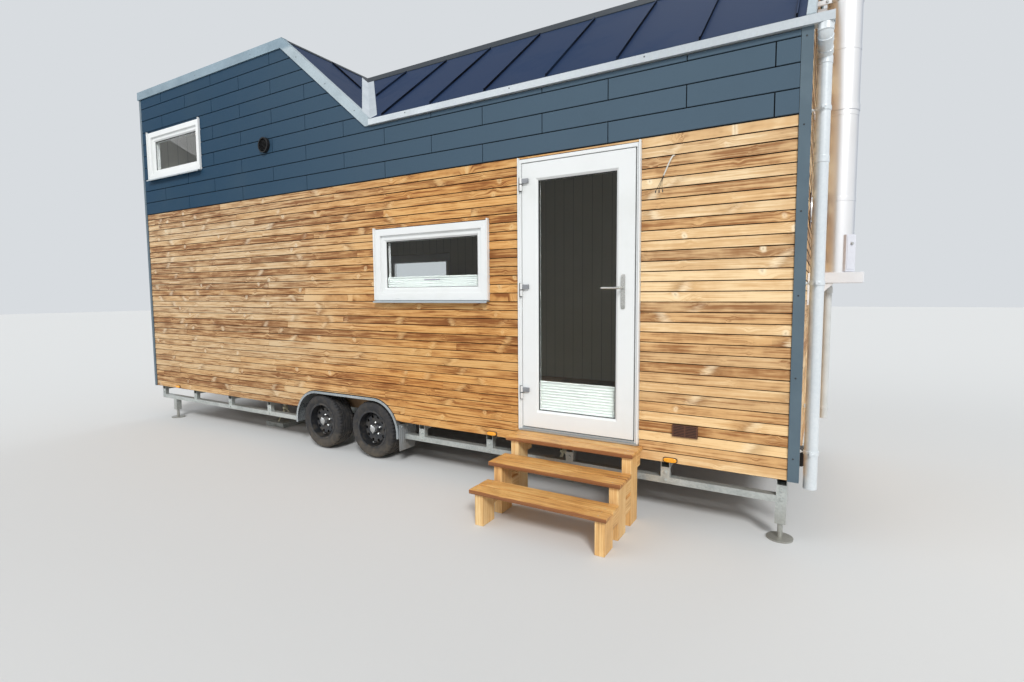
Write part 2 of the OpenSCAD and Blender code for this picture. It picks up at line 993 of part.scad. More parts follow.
// Pale two-winged flashing in the valley between the slopes
valley_w = 62;
valley_t = 4;
module valley_flashing()
    color("#b9c4c8")
        at_home()
            intersection() {
                roof_layer(-valley_t, 0);
                linear_extrude(big)
                    difference() {
                        valley_plan(valley_w);
                        translate([0, ridge_y - cap_down])
                            square([big, big]);
                        square([loft_l + cap_w / 2, big]);
                        translate([-big / 2, -big])
                            square(big);
                    }
            }

// Galvanised kerb of the flat roof and the bands along the sloping edges
verge_w = 40;
verge_t = 5;
module edge_trims()
    color("#aab6ba")
        at_home() {
            kerb_top = flat_z + kerb_h;
            block([-trim_proud, -trim_proud, flat_z], [loft_l, kerb_w, kerb_top]);
            block([-trim_proud, -trim_proud, flat_z], [kerb_w, house_w, kerb_top]);
            block([house_l - kerb_w, ridge_y + cap_w, flat_z],
                  [house_l + trim_proud, house_w, kerb_top]);
            block([-trim_proud, -trim_proud, flat_z - band_h], [loft_l, 0, kerb_top]);
            block([-trim_proud, -trim_proud, flat_z - band_h], [0, house_w, kerb_top]);
            block([house_l, ridge_y + cap_w, flat_z - band_h],
                  [house_l + trim_proud, house_w, kerb_top]);
            intersection() {
                block([loft_l - 30, -trim_proud, gutter_z0], [valley_x, 0, big]);
                roof_layer(-verge_t, band_h);
            }
            intersection() {
                roof_layer(-verge_t, 0);
                linear_extrude(big)
                    difference() {
                        translate([loft_l, -trim_proud])
                            square([valley_x - loft_l, trim_proud + verge_w]);
                        valley_plan(valley_w);
                    }
            }
            intersection() {
                block([house_l, gutter_in + fit, 0], [house_l + verge_t, ridge_y + cap_w, big]);
                roof_layer(-verge_t, band_h);
            }
            intersection() {
                block([house_l - verge_w, 0, 0], [house_l + verge_t, ridge_y - cap_down, big]);
                roof_layer(-verge_t, 0);
            }
        }

// A box gutter along X, open at the top and closed at both ends
module gutter(x0, x1, y0, z1)
    difference() {
        block([x0, y0, z1 - gutter_h], [x1, y0 + gutter_d, z1]);
        block([x0 + gutter_t, y0 + gutter_t, z1 - gutter_h + gutter_t],
              [x1 - gutter_t, y0 + gutter_d - gutter_t, z1 + 1]);
    }

// Front gutter from the foot of the valley, and the back gutter hung under the flat roof
module gutters()
    color("#b4bfc3")
        at_home() {
            gutter(valley_x, house_l + gutter_over, -gutter_proud, gutter_z1);
            far_side()
                gutter(-trim_proud, house_l + gutter_over, -gutter_d, flat_z - sheet_t);
        }

// A downpipe with a swan neck, an open foot and three wall clamps
neck_r = 55;
neck_a = 60;
pipe_t = 4;
clamp_h = 26;
clamp_z = [533, 1549, 2546];
ring_up = 550;
module downpipe(top, outlet_y) {
    px = board_end + downpipe_gap + downpipe_d / 2;
    drop_a = 2 * neck_r * sin(neck_a) + collar_h / 2;
    run_a = 2 * neck_r * (1 - cos(neck_a));
    run = downpipe_in - outlet_y - run_a;
    drop = run / tan(neck_a);
    straight_z = top - drop_a - drop;
    translate([px, downpipe_in, downpipe_z])
        difference() {
            cylinder(d = downpipe_d, h = straight_z - downpipe_z);
            translate([0, 0, -1])
                cylinder(d = downpipe_d - 2 * pipe_t, h = 121);
        }
    translate([px, downpipe_in, straight_z])
        neck_bend();
    translate([px, outlet_y, top - collar_h / 2])
        rotate([180, 0, 0])
            neck_bend();
    translate([px, downpipe_in - neck_r * (1 - cos(neck_a)), straight_z + neck_r * sin(neck_a)])
        rotate([neck_a, 0, 0])
            cylinder(d = downpipe_d, h = run / sin(neck_a));
    for (z = [straight_z, straight_z - ring_up])
        translate([px, downpipe_in, z])
            collar();
    translate([px, downpipe_in - neck_r * (1 - cos(neck_a)), straight_z + neck_r * sin(neck_a)])
        rotate([neck_a, 0, 0]) {
            collar();
            translate([0, 0, run / sin(neck_a)])
                collar();
        }
    translate([px, outlet_y, top - collar_h / 2])
        collar();
    for (z = clamp_z)
        translate([px, downpipe_in, z]) {
            cylinder(d = downpipe_d + 10, h = clamp_h);
            translate([0, 0, clamp_h / 2])
                rotate([0, -90, 0])
                    cylinder(d = 12, h = downpipe_gap + downpipe_d / 2);
        }
}

// A socket collar round a joint of the downpipe
collar_h = 40;
module collar()
    translate([0, 0, -collar_h / 2])
        cylinder(d = downpipe_d + 8, h = collar_h);

// A bend of the downpipe, from upright towards the gutter
module neck_bend()
    translate([0, -neck_r, 0])
        rotate([90, 0, 90])
            rotate_extrude(angle = neck_a, $fn = 64)
                translate([neck_r, 0])
                    circle(d = downpipe_d, $fn = 32);

module downpipes()
    color("#b4bfc3")
        at_home() {
            downpipe(gutter_z0, gutter_d / 2 - gutter_proud);
            far_side()
                downpipe(flat_z - sheet_t - gutter_h, -gutter_d / 2);
        }

// A rectangular ring of window profile
module ring(w, h, face, y0, y1)
    difference() {
        block([0, y0, 0], [w, y1, h]);
        block([face, y0 - 1, face], [w - face, y1 + 1, h - face]);
    }

// A window: casing strips with ears before the wall's face, an outer frame and a sash
sash_y = 10;
casing_out = -22;
module window_frame(w, h, face) {
    for (x = [0, w - casing_t])
        block([x, casing_out, 0], [x + casing_t, pvc_d + pvc_out, h]);
    for (x = [0, w - casing_t])
        block([x, casing_out, h - 1], [x + casing_t, face - fit, h + casing_ear]);
    translate([casing_t, 0, 0]) {
        iw = w - 2 * casing_t;
        ring(iw, h, frame_face, pvc_out, pvc_d + pvc_out);
        translate([frame_face - 2, 0, frame_face - 2])
            ring(iw - 2 * frame_face + 4, h - 2 * frame_face + 4, sash_face + 2,
                 sash_y, sash_y + pvc_d);
    }
}

// Lower windows of the front and the back
module window_frames_low()
    color("white")
        at_home() {
            translate([low_x, 0, low_z])
                window_frame(low_w, low_h, board_face);
            far_side()
                translate([back_x, 0, low_z])
                    window_frame(low_w, low_h, board_face);
        }

// Loft windows of the front and the back
module window_frames_loft()
    color("white")
        at_home()
            both_sides()
                translate([loft_x, 0, loft_z])
                    window_frame(loft_w, loft_h, 0);

// Sheets of double glazing, seated in their sashes
glass_y = 30;
module pane(w, h) {
    f = frame_face + sash_face + casing_t;
    g = frame_face + sash_face;
    block([f, glass_y, g], [w - f, glass_y + glass_t, h - g]);
}
module window_glass()
    color([0.6, 0.7, 0.75, 0.5])
        at_home() {
            translate([low_x, 0, low_z])
                pane(low_w, low_h);
            far_side()
                translate([back_x, 0, low_z])
                    pane(low_w, low_h);
            both_sides()
                translate([loft_x, 0, loft_z])
                    pane(loft_w, loft_h);
        }

// Pleated blind folded up at the foot of the front lower window
blind_h = 92;
blind_t = 22;
module window_blind()
    color("whitesmoke")
        at_home()
            translate([low_x, 0, low_z]) {
                f = frame_face + sash_face;
                block([f + casing_t, glass_y + glass_t, f],
                      [low_w - f - casing_t, glass_y + glass_t + blind_t, f + blind_h]);
            }

// Sloping metal sills under the windows and the strip under the door
sill_out = -38;
sill_h = 22;
module sill(x, z, w)
    translate([x, 0, z - sill_h])
        end_shape(0, w)
            polygon([[sill_out, 0], [sill_out + 4, 0], [sill_out + 4, 8], [board_face, 12],
                     [board_face, sill_h], [sill_out, 14]]);
strip_h = 30;
strip_out = -18;
module sills()
    color("#9da7ab")
        at_home() {
            sill(low_x, low_z, low_w);
            far_side()
                sill(back_x, low_z, low_w);
            both_sides()
                translate([0, -board_face, 0])
                    sill(loft_x, loft_z, loft_w);
            block([door_x, board_face, door_z - strip_h], [door_x + door_w, wall_out, door_z]);
            block([door_x, strip_out, door_z - step_drop + 3], [door_x + door_w, wall_out, door_z]);
        }

// Gaps of the leaf in its frame
leaf_x = door_x + door_face + leaf_gap;
leaf_w = door_w - 2 * door_face - leaf_gap - free_gap;
threshold_h = 14;
leaf_z = door_z + threshold_h + leaf_gap;
leaf_h = door_h - door_face - threshold_h - 2 * leaf_gap;
leaf_y = -5;
stop_w = 44;
stop_t = 25;

// Hinge line, in the middle of the gap and in front of the leaf
hinge_x = leaf_x - leaf_gap / 2;
hinge_y = pvc_out - knuckle_d / 2 - fit;
hinge_up = 209;
hinge_down = 101;
hinge_top = leaf_h - hinge_down - knuckle_h;
hinge_z = [leaf_z + hinge_up, leaf_z + (hinge_up + hinge_top) / 2, leaf_z + hinge_top];

// Frame of the door: outer ring, stop behind the leaf, casing strips and hinge halves
module door_frame()
    color("white")
        at_home() {
            stop_y = leaf_y + leaf_t + leaf_gap;
            difference() {
                block([door_x, pvc_out, door_z], [door_x + door_w, stop_y + stop_t,
                      door_z + door_h]);
                block([door_x + door_face, pvc_out - 1, door_z + threshold_h],
                      [door_x + door_w - door_face, stop_y, door_z + door_h - door_face]);
                block([door_x + door_face + stop_w, 0, door_z + threshold_h],
                      [door_x + door_w - door_face - stop_w, big,
                       door_z + door_h - door_face - stop_w]);
            }
            for (x = [door_x, door_x + door_w - casing_t]) {
                block([x, casing_out, door_z], [x + casing_t, pvc_out + 1, door_z + door_h]);
                block([x, casing_out, door_z + door_h - 1],
                      [x + casing_t, board_face - fit, door_z + door_h + casing_ear]);
            }
            for (z = hinge_z) {
                translate([hinge_x, hinge_y, z])
                    cylinder(d = knuckle_d, h = knuckle_h / 2);
                translate([hinge_x, hinge_y, z])
                    cylinder(d = pin_d, h = knuckle_h - 6);
                block([hinge_x - 26, hinge_y, z], [hinge_x - 3, pvc_out + 1, z + knuckle_h / 2]);
            }
        }

// The door leaf: welded stiles and rails, with its hinge halves and spindle bore
module door_leaf()
    color("white")
        at_home()
            difference() {
                union() {
                    translate([leaf_x, 0, leaf_z])
                        ring(leaf_w, leaf_h, stile_w, leaf_y, leaf_y + leaf_t);
                    for (z = hinge_z) {
                        translate([hinge_x, hinge_y, z + knuckle_h / 2 + 1])
                            cylinder(d = knuckle_d, h = knuckle_h / 2 - 1);
                        block([hinge_x + 3, hinge_y, z + knuckle_h / 2 + 1],
                              [hinge_x + 32, leaf_y + 1, z + knuckle_h]);
                    }
                }
                for (z = hinge_z)
                    translate([hinge_x, hinge_y, z])
                        cylinder(d = pin_d + 2 * fit, h = knuckle_h - 4);
                spindle_bore();
            }

// Spindle line of the lever handles
lever_in = 78;
lever_x = leaf_x + leaf_w - lever_in;
lever_z = door_z + spindle_up;
bar_d = 16;
module spindle_bore()
    translate([lever_x, leaf_y - 100, lever_z])
        rotate([-90, 0, 0])
            cylinder(d = bar_d + 2 * fit, h = leaf_t + 200);

// The sheet of glass in the leaf
door_glass_y = 18;
module door_glass()
    color([0.6, 0.7, 0.75, 0.5])
        at_home()
            block([leaf_x + stile_w, leaf_y + door_glass_y, leaf_z + stile_w],
                  [leaf_x + leaf_w - stile_w, leaf_y + door_glass_y + glass_t,
                   leaf_z + leaf_h - stile_w]);

// Pleated blind at the foot of the door's glass
door_blind_h = 215;
door_blind_t = 14;
module door_blind()
    color("whitesmoke")
        at_home() {
            y = leaf_y + door_glass_y + glass_t;
            block([leaf_x + stile_w, y, leaf_z + stile_w],
                  [leaf_x + leaf_w - stile_w, y + door_blind_t, leaf_z + stile_w + door_blind_h]);
        }

// Long narrow plates under the levers, one on each face of the leaf
plate_w = 30;
plate_up = 92;
plate_down = 142;
door_plate_t = 9;
module door_plates()
    color("silver")
        at_home()
            difference() {
                for (y = [leaf_y - door_plate_t, leaf_y + leaf_t])
                    block([lever_x - plate_w / 2, y, lever_z - plate_down],
                          [lever_x + plate_w / 2, y + door_plate_t, lever_z + plate_up]);
                spindle_bore();
            }

// Lever handles inside and outside on one spindle
lever_out = 45;
module lever(y)
    translate([lever_x, y, lever_z]) {
        rotate([0, -90, 0])
            cylinder(d = lever_d, h = lever_l);
        sphere(d = lever_d);
        translate([-lever_l, 0, 0])
            sphere(d = lever_d);
    }
module door_handle()
    color("silver")
        at_home() {
            y0 = leaf_y - door_plate_t - lever_out;
            y1 = leaf_y + leaf_t + door_plate_t + lever_out;
            lever(y0);
            lever(y1);
            translate([lever_x, y0, lever_z])
                rotate([-90, 0, 0])
                    cylinder(d = bar_d, h = y1 - y0);
        }

// Round black vent of the loft and the brown grille beside the door
grille_past_door = 225;
grille_up = 187;
grille_x = door_x + door_w + grille_past_door;
grille_z = floor_z + grille_up;
grille_w = 160;
grille_h = 79;
vent_out = 30;
module vents()
    color("#2a2422")
        at_home() {
            translate([vent_x, -vent_out, vent_z])
                rotate([-90, 0, 0])
                    difference() {
                        cylinder(d = vent_d, h = vent_out);
                        translate([0, 0, -1])
                            cylinder(d = vent_d - 24, h = vent_out - 7);
                    }
            translate([vent_x, 0, vent_z])
                rotate([-90, 0, 0])
                    cylinder(d = vent_d - 40 - 2 * fit, h = wall_in);
            difference() {
                block([grille_x, board_face - 9, grille_z],
                      [grille_x + grille_w, board_face, grille_z + grille_h]);
                for (i = [0 : 5])
                    block([grille_x + 12, board_face - 10, grille_z + 11 + i * 10],
                          [grille_x + grille_w - 12, board_face - 4, grille_z + 16 + i * 10]);
            }
        }

// Front edge of each tread, counted from the top one
function tread_y(i) = steps_y - tread_d - i * going;
function tread_top(i) = step_top - i * rise;

// Three treads of two boards each
board_gap = 8;
module step_treads()
    color("#d9a45c")
        at_home()
            for (i = [0 : treads - 1]) {
                half = (tread_d - board_gap) / 2;
                for (y = [tread_y(i), tread_y(i) + half + board_gap])
                    block([door_x + tread_in, y, tread_top(i) - tread_t],
                          [door_x + door_w + tread_past, y + half, tread_top(i)]);
            }

// Posts under the treads, tied by deep bearers on each side
post_in = 20;
post_left = 35;
post_right = 15;
bearer_h = 100;
module step_side(x)
    for (i = [0 : treads - 1]) {
        y = tread_y(i) + post_in;
        top = tread_top(i) - tread_t;
        block([x, y, 0], [x + post_w, y + post_d, top]);
        block([x, y, top - bearer_h], [x + post_w, tread_y(0) + post_in + post_d, top]);
        block([x, y, top - bearer_h], [x + post_w, tread_y(i) + tread_d - 4, top]);
    }
module step_sides()
    color("#cf9a55")
        at_home() {
            step_side(door_x + tread_in + post_left);
            step_side(door_x + door_w + tread_past - post_right - post_w);
        }

// Insulated flue: tee on a wall console, stacked lengths with bands, cowl and drain
band_t = 5;
band_z = [2113, 2669, 3088, 4100];
stay_z = [2702, 3400];
cowl_gap = 90;
cowl_h = 70;
cowl_tip = 60;
leg_in = 4;
leg_out = 12;
leg_w = 16;
rose_t = 10;
cone_d = 210;
cone_l = 75;
gusset = 150;
drain_out = 122;
drain_z = 630;
drain_up = 60;
drain_arm = 24;
flue_base = console_z + console_t;
bore_up = 300;
flue_band_h = 30;
stay_h = 40;
stay_y = [-60, 60];
stay_w = 16;
stay_in = 5;
console_w = 250;
gusset_in = 10;
gusset_t = 10;
box_w = 100;
box_proud = 22;
box_foot = 5;
box_top = 250;
box_turn = -57;
sink = 20;
module flue()
    color("#c8ccce")
        at_home()
            difference() {
                flue_body();
                translate([flue_x, flue_y, 0])
                    cylinder_between(flue_base + bore_up, flue_top + 1, flue_bore);
            }

// Everything of the flue, before it is bored
module flue_body() {
    translate([flue_x, flue_y, 0]) {
        cylinder_between(flue_base, flue_top, flue_d);
        for (z = band_z)
            cylinder_between(z, z + flue_band_h, flue_d + 2 * band_t);
        for (a = [0 : 120 : 240])
            rotate(a)
                block([flue_bore / 2 + leg_in, -leg_w / 2, flue_top - 1],
                      [flue_bore / 2 + leg_out, leg_w / 2, flue_top + cowl_gap + 1]);
        translate([0, 0, flue_top + cowl_gap])
            cylinder(d1 = cowl_d, d2 = cowl_tip, h = cowl_h);
        rotate(box_turn)
            block([flue_d / 2 - sink, -box_w / 2, flue_base + box_foot],
                  [flue_d / 2 + box_proud, box_w / 2, flue_base + box_top]);
        for (z = stay_z) {
            cylinder_between(z, z + stay_h, flue_d + 2 * band_t);
            for (y = stay_y)
                block([-flue_gap - flue_d / 2, y - stay_w / 2, z + stay_in],
                      [-sink, y + stay_w / 2, z + stay_h - stay_in]);
        }
    }
    translate([board_end, flue_y, tee_z])
        rotate([0, 90, 0]) {
            cylinder(d = rose_d, h = rose_t);
            cylinder(d1 = cone_d, d2 = tee_d, h = cone_l);
            cylinder(d = tee_d, h = flue_gap + flue_d / 2);
        }
    translate([house_l - wall_in, flue_y, tee_z])
        rotate([0, 90, 0])
            cylinder(d = pipe_d, h = wall_in);
    block([board_end, flue_y - console_w / 2, console_z],
          [board_end + console_l, flue_y + console_w / 2, flue_base]);
    for (y = [-console_w / 2 + gusset_in, console_w / 2 - gusset_in - gusset_t])
        wall_shape(flue_y + y, flue_y + y + gusset_t)
            polygon([[board_end, console_z + 1], [board_end + gusset, console_z + 1],
                     [board_end, console_z - gusset]]);
    translate([board_end + drain_out, flue_y, drain_z])
        cylinder(d = drain_d, h = console_z - drain_z + 1);
    block([board_end, flue_y - drain_arm / 2, drain_z + drain_up],
          [board_end + drain_out, flue_y + drain_arm / 2, drain_z + drain_up + drain_arm]);
}

// Short lamp cable that comes out of the boards beside the door and hangs free
cable_d = 9;
cable_route = [[1130, 6, 1879], [1130, -4, 1879], [1129, -14, 1877], [1127, -23, 1872],
               [1123, -30, 1864], [1118, -34, 1853], [1112, -36, 1840], [1105, -36, 1825],
               [1098, -35, 1809], [1090, -34, 1792], [1082, -33, 1775], [1074, -32, 1757],
               [1067, -31, 1739], [1060, -30, 1721], [1054, -29, 1703], [1049, -28, 1685],
               [1045, -27, 1667]];
function unit(v) = v / norm(v);
function along(p, i) = unit(p[min(i + 1, len(p) - 1)] - p[max(i - 1, 0)]);
function ring_points(p, i, n, r) =
    let (t = along(p, i), u = unit(cross(t, [1, 0.2, 0])), v = cross(t, u))
    [for (k = [0 : n - 1]) p[i] + r * (cos(k * 360 / n) * u + sin(k * 360 / n) * v)];
module tube(p, n, r) {
    last = (len(p) - 1) * n;
    points = [for (i = [0 : len(p) - 1]) each ring_points(p, i, n, r)];
    sides = [for (i = [0 : len(p) - 2]) for (k = [0 : n - 1])
             [i * n + k, i * n + (k + 1) % n, (i + 1) * n + (k + 1) % n, (i + 1) * n + k]];
    first_cap = [for (k = [n - 1 : -1 : 0]) k];
    last_cap = [for (k = [0 : n - 1]) last + k];
    polyhedron(points, concat(sides, [first_cap, last_cap]));
}
module lamp_cable()
    color("gainsboro")
        at_home()
            translate([door_x, 0, door_z])
                tube(cable_route, 8, cable_d / 2);

chassis_rails();
crossmembers();
axles();
tyre_fore_near();
tyre_aft_near();
tyre_fore_far();
tyre_aft_far();
rim_fore_near();
rim_aft_near();
rim_fore_far();
rim_aft_far();
mudguards();
mud_flaps();
corner_steadies();
support_stands();
stand_pads();
side_markers();
tail_lamps();
floor_deck();
front_wall_left();
front_wall_over_door();
front_wall_right();
back_wall();
loft_end_wall();
door_end_wall();
cladding_front();
cladding_back();
cladding_loft_end();
cladding_door_end();
siding_front();
siding_back();
siding_loft_end();
corner_trims();
roof_flat();
roof_front_slope();
roof_side_slope();
sheet_flat();
sheet_front_slope();
sheet_side_slope();
ridge_caps();
valley_flashing();
edge_trims();
gutters();
downpipes();
window_frames_low();
window_frames_loft();
window_glass();
window_blind();
sills();
door_frame();
door_leaf();
door_glass();
door_blind();
door_plates();
door_handle();
vents();
step_treads();
step_sides();
flue();
lamp_cable();
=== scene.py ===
import math

import bpy
import numpy as np
from mathutils import Matrix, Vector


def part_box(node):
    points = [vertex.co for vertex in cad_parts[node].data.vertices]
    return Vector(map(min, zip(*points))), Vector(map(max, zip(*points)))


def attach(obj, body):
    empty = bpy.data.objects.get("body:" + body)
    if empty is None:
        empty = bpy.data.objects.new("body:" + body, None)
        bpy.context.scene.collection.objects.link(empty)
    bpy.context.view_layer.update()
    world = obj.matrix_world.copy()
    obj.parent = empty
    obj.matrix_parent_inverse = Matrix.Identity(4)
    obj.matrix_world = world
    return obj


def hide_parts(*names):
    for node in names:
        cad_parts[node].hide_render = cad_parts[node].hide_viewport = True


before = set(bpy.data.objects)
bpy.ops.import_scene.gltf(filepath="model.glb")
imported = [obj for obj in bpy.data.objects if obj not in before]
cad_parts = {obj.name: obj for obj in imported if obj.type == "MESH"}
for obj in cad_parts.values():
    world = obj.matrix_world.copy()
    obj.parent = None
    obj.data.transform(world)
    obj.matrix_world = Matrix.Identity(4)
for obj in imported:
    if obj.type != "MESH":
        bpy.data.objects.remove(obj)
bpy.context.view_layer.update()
chance = np.random.default_rng(11)


# The viewpoint
# The house is seen from before its door end, at eye height, turned towards the loft end and a little down.
# Places are millimetres along the front from the loft end, in from the siding, and up from the ground.
trim_low, trim_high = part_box("corner_trims")
house_corner = np.array([trim_low.x, trim_low.y, 0.0])
house_l = 1000 * (trim_high.x - trim_low.x)
house_w = 1000 * (trim_high.y - trim_low.y)


def place(points):
    """Metres in the shared frame of points in the house's own millimetres: point / 1000 + corner."""
    return np.asarray(points, float) / 1000 + house_corner


eye = (7293.0, -3470.0, 1511.0)
view_turn, view_tilt, view_roll = math.radians(30.29), math.radians(-4.32), math.radians(0.39)
lens = bpy.data.cameras.new("viewpoint")
lens.sensor_width, lens.lens = 36.0, 18.67
lens.shift_x, lens.shift_y = -0.0012, -0.0067
lens.clip_start, lens.clip_end = 0.1, 200.0
camera = bpy.data.objects.new("viewpoint", lens)
bpy.context.scene.collection.objects.link(camera)
camera.matrix_world = (
    Matrix.Translation(place(eye).tolist())
    @ Matrix.Rotation(view_turn, 4, "Z")
    @ Matrix.Rotation(view_tilt, 4, "X")
    @ Matrix.Rotation(view_roll, 4, "Y")
    @ Matrix.Rotation(math.radians(90), 4, "X")
)
bpy.context.scene.camera = camera


# The lamp cable
# A pale sheathed cable comes out of the boards beside the door, where a lamp would hang. Its last part is
# stripped to three dark cores with small end sleeves, which hang free.
def paint(red, green, blue):
    """A linear colour from the eye's scale of 0 to 255: ((c + 0.055) / 1.055) ^ 2.4 above the toe."""
    c = np.array([red, green, blue]) / 255
    linear = np.where(c <= 0.04045, c / 12.92, ((c + 0.055) / 1.055) ** 2.4)
    return (*linear.tolist(), 1.0)


def feed(tree, socket, value):
    """What a socket takes: a link from another socket, or a plain value."""
    if isinstance(value, bpy.types.NodeSocket):
        tree.links.new(value, socket)
    else:
        socket.default_value = value


def add(tree, kind, inputs=(), **settings):
    """A node with its settings, its inputs fed by name or by number."""
    node = tree.nodes.new(kind)
    for name, value in settings.items():
        setattr(node, name, value)
    for key, value in dict(inputs).items():
        feed(tree, node.inputs[key], value)
    return node


def effect(name, inputs, outputs):
    """An empty node group with named sockets, and its input and output nodes."""
    group = bpy.data.node_groups.new(name, "ShaderNodeTree")
    for label, (kind, value) in inputs.items():
        socket = group.interface.new_socket(label, in_out="INPUT", socket_type="NodeSocket" + kind)
        socket.default_value = value
    for label, kind in outputs.items():
        group.interface.new_socket(label, in_out="OUTPUT", socket_type="NodeSocket" + kind)
    return group, group.nodes.new("NodeGroupInput").outputs, group.nodes.new("NodeGroupOutput").inputs


def mix(tree, share, first, second, blend="MIX"):
    """The colour that lies between two others at a share."""
    node = add(tree, "ShaderNodeMix", {0: share, 6: first, 7: second}, data_type="RGBA", blend_type=blend)
    return node.outputs[2]


def ramp(tree, value, low, high, to_low=0.0, to_high=1.0):
    """A value eased between two marks: smooth steps from to_low at low to to_high at high."""
    marks = {"Value": value, "From Min": low, "From Max": high, "To Min": to_low, "To Max": to_high}
    return add(tree, "ShaderNodeMapRange", marks, interpolation_type="SMOOTHSTEP").outputs[0]


def reckon(tree, operation, *values):
    """The result of one sum on one, two or three values."""
    return add(tree, "ShaderNodeMath", enumerate(values), operation=operation).outputs[0]


def noise(tree, where, scale, detail, rough=0.5):
    """A cloudy pattern from 0 to 1."""
    inputs = {"Vector": where, "Scale": scale, "Detail": detail, "Roughness": rough}
    return add(tree, "ShaderNodeTexNoise", inputs).outputs[0]


def split(tree, vector):
    """The sockets X, Y and Z of a vector."""
    return add(tree, "ShaderNodeSeparateXYZ", {"Vector": vector}).outputs


def wear_group():
    """Patches of a stain from a coarse noise, mud that fades with height above the ground, and a fine
    grit."""
    group, given, out = effect(
        "weathered coat",
        {"Where": ("Vector", (0, 0, 0)), "Colour": ("Color", (1, 1, 1, 1)), "Stain": ("Color", (0, 0, 0, 1)),
         "Share": ("Float", 0.4), "Size": ("Float", 3.0), "Grit": ("Float", 250.0),
         "Mud": ("Color", paint(120, 108, 90)), "Splash": ("Float", 0.0)},
        {"Colour": "Color", "Mask": "Float", "Height": "Float"})
    coarse = noise(group, given["Where"], given["Size"], 5.0, 0.62)
    fine = noise(group, given["Where"], given["Grit"], 2.0)
    patches = ramp(group, coarse, 0.42, 0.72)
    stained = mix(group, reckon(group, "MULTIPLY", patches, given["Share"]), given["Colour"], given["Stain"])
    reach = reckon(group, "SUBTRACT", given["Splash"], split(group, given["Where"])["Z"])
    mud = ramp(group, reckon(group, "ADD", reach, reckon(group, "MULTIPLY", coarse, 0.25)), 0.1, 0.6)
    group.links.new(mix(group, reckon(group, "MULTIPLY", mud, 0.75), stained, given["Mud"]), out["Colour"])
    group.links.new(patches, out["Mask"])
    group.links.new(fine, out["Height"])
    return group


wear = wear_group()


def blank(name):
    """A new material and its shader."""
    material = bpy.data.materials.new(name)
    material.use_nodes = True
    return material, material.node_tree.nodes["Principled BSDF"]


def emboss(tree, height, strength, depth=0.001):
    """A relief on the shader, as deep as a height of 1 stands out, in metres."""
    relief = add(tree, "ShaderNodeBump", {"Height": height, "Strength": strength, "Distance": depth})
    tree.links.new(relief.outputs[0], tree.nodes["Principled BSDF"].inputs["Normal"])


def coat(name, colour, stain, share=0.4, size=3.0, grit=250.0, bump=0.1, rough=(0.4, 0.55), splash=0.0,
         **sockets):
    """A material whose colour wanders to a stain in patches, rougher there, with a fine grit in its
    relief. Both colours are on the eye's scale."""
    material, shader = blank(name)
    tree = material.node_tree
    for socket, value in sockets.items():
        shader.inputs[socket.replace("_", " ")].default_value = value
    where = add(tree, "ShaderNodeTexCoord").outputs["Object"]
    worn = add(tree, "ShaderNodeGroup", {"Where": where}, node_tree=wear)
    for socket, value in (("Colour", paint(*colour)), ("Stain", paint(*stain)), ("Share", share),
                          ("Size", size), ("Grit", grit), ("Splash", splash)):
        worn.inputs[socket].default_value = value
    tree.links.new(worn.outputs["Colour"], shader.inputs["Base Color"])
    tree.links.new(ramp(tree, worn.outputs["Mask"], 0.0, 1.0, *rough), shader.inputs["Roughness"])
    emboss(tree, worn.outputs["Height"], bump)
    return material


def skin(rings, tone=0.5, seed=(0.0, 0.0), loop=False):
    """The closed surface over a row of rings of as many points: a face joins two neighbours of one ring to
    the same two of the next. A ladder of faces closes each end, or the last ring joins the first. Its
    chart runs along the rings and round them, in metres, and its tone is one value or a row of them round
    the rings."""
    rings = np.asarray(rings, float)
    m, k = rings.shape[:2]
    i, j = (a.ravel() for a in np.meshgrid(np.arange(m if loop else m - 1), np.arange(k), indexing="ij"))
    after = (i + 1) % m
    quads = np.stack([i * k + j, i * k + (j + 1) % k, after * k + (j + 1) % k, after * k + j], 1)
    if not loop:
        rung = np.arange(k // 2 - 1)
        cap = np.stack([rung, rung + 1, k - 2 - rung, k - 1 - rung], 1)
        quads = np.concatenate([quads, cap[:, ::-1], cap + (m - 1) * k])
    points = rings.reshape(-1, 3)
    a, b, c, d = (points[quads[:, n]] for n in range(4))
    volume = (a * np.cross(b, c)).sum() + (a * np.cross(c, d)).sum()
    if volume < 0:
        quads = quads[:, ::-1]
    along = np.concatenate([[0], np.cumsum(np.linalg.norm(np.diff(rings.mean(1), axis=0), axis=1))])
    around = np.concatenate([[0], np.cumsum(np.linalg.norm(np.diff(rings[m // 2], axis=0), axis=1))])
    chart = np.stack([np.repeat(along, k) / 1000 + seed[0], np.tile(around, m) / 1000 + seed[1]], 1)
    return points, quads, chart, np.tile(np.broadcast_to(tone, k), m)


def build(name, skins, material, body="house", instead_of=()):
    """One piece from many skins, laid end to end in one mesh, in metres, with their charts and tones."""
    starts = np.cumsum([0] + [len(s[0]) for s in skins[:-1]])
    points, charts, tones = (np.concatenate([s[n] for s in skins]) for n in (0, 2, 3))
    quads = np.concatenate([s[1] + start for s, start in zip(skins, starts)])
    mesh = bpy.data.meshes.new(name)
    mesh.from_pydata(place(points).tolist(), [], quads.tolist())
    mesh.uv_layers.new(name="chart").data.foreach_set("uv", charts[quads.ravel()].astype(np.float32).ravel())
    mesh.attributes.new("tone", "FLOAT", "POINT").data.foreach_set("value", tones.astype(np.float32))
    mesh.materials.append(material)
    mesh.shade_smooth()
    mesh.set_sharp_from_angle(angle=math.radians(34))
    piece = bpy.data.objects.new(name, mesh)
    bpy.context.scene.collection.objects.link(piece)
    piece.modifiers.new("flat_faces", "WEIGHTED_NORMAL").keep_sharp = True
    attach(piece, body)
    if instead_of:
        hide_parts(*instead_of)
    return piece


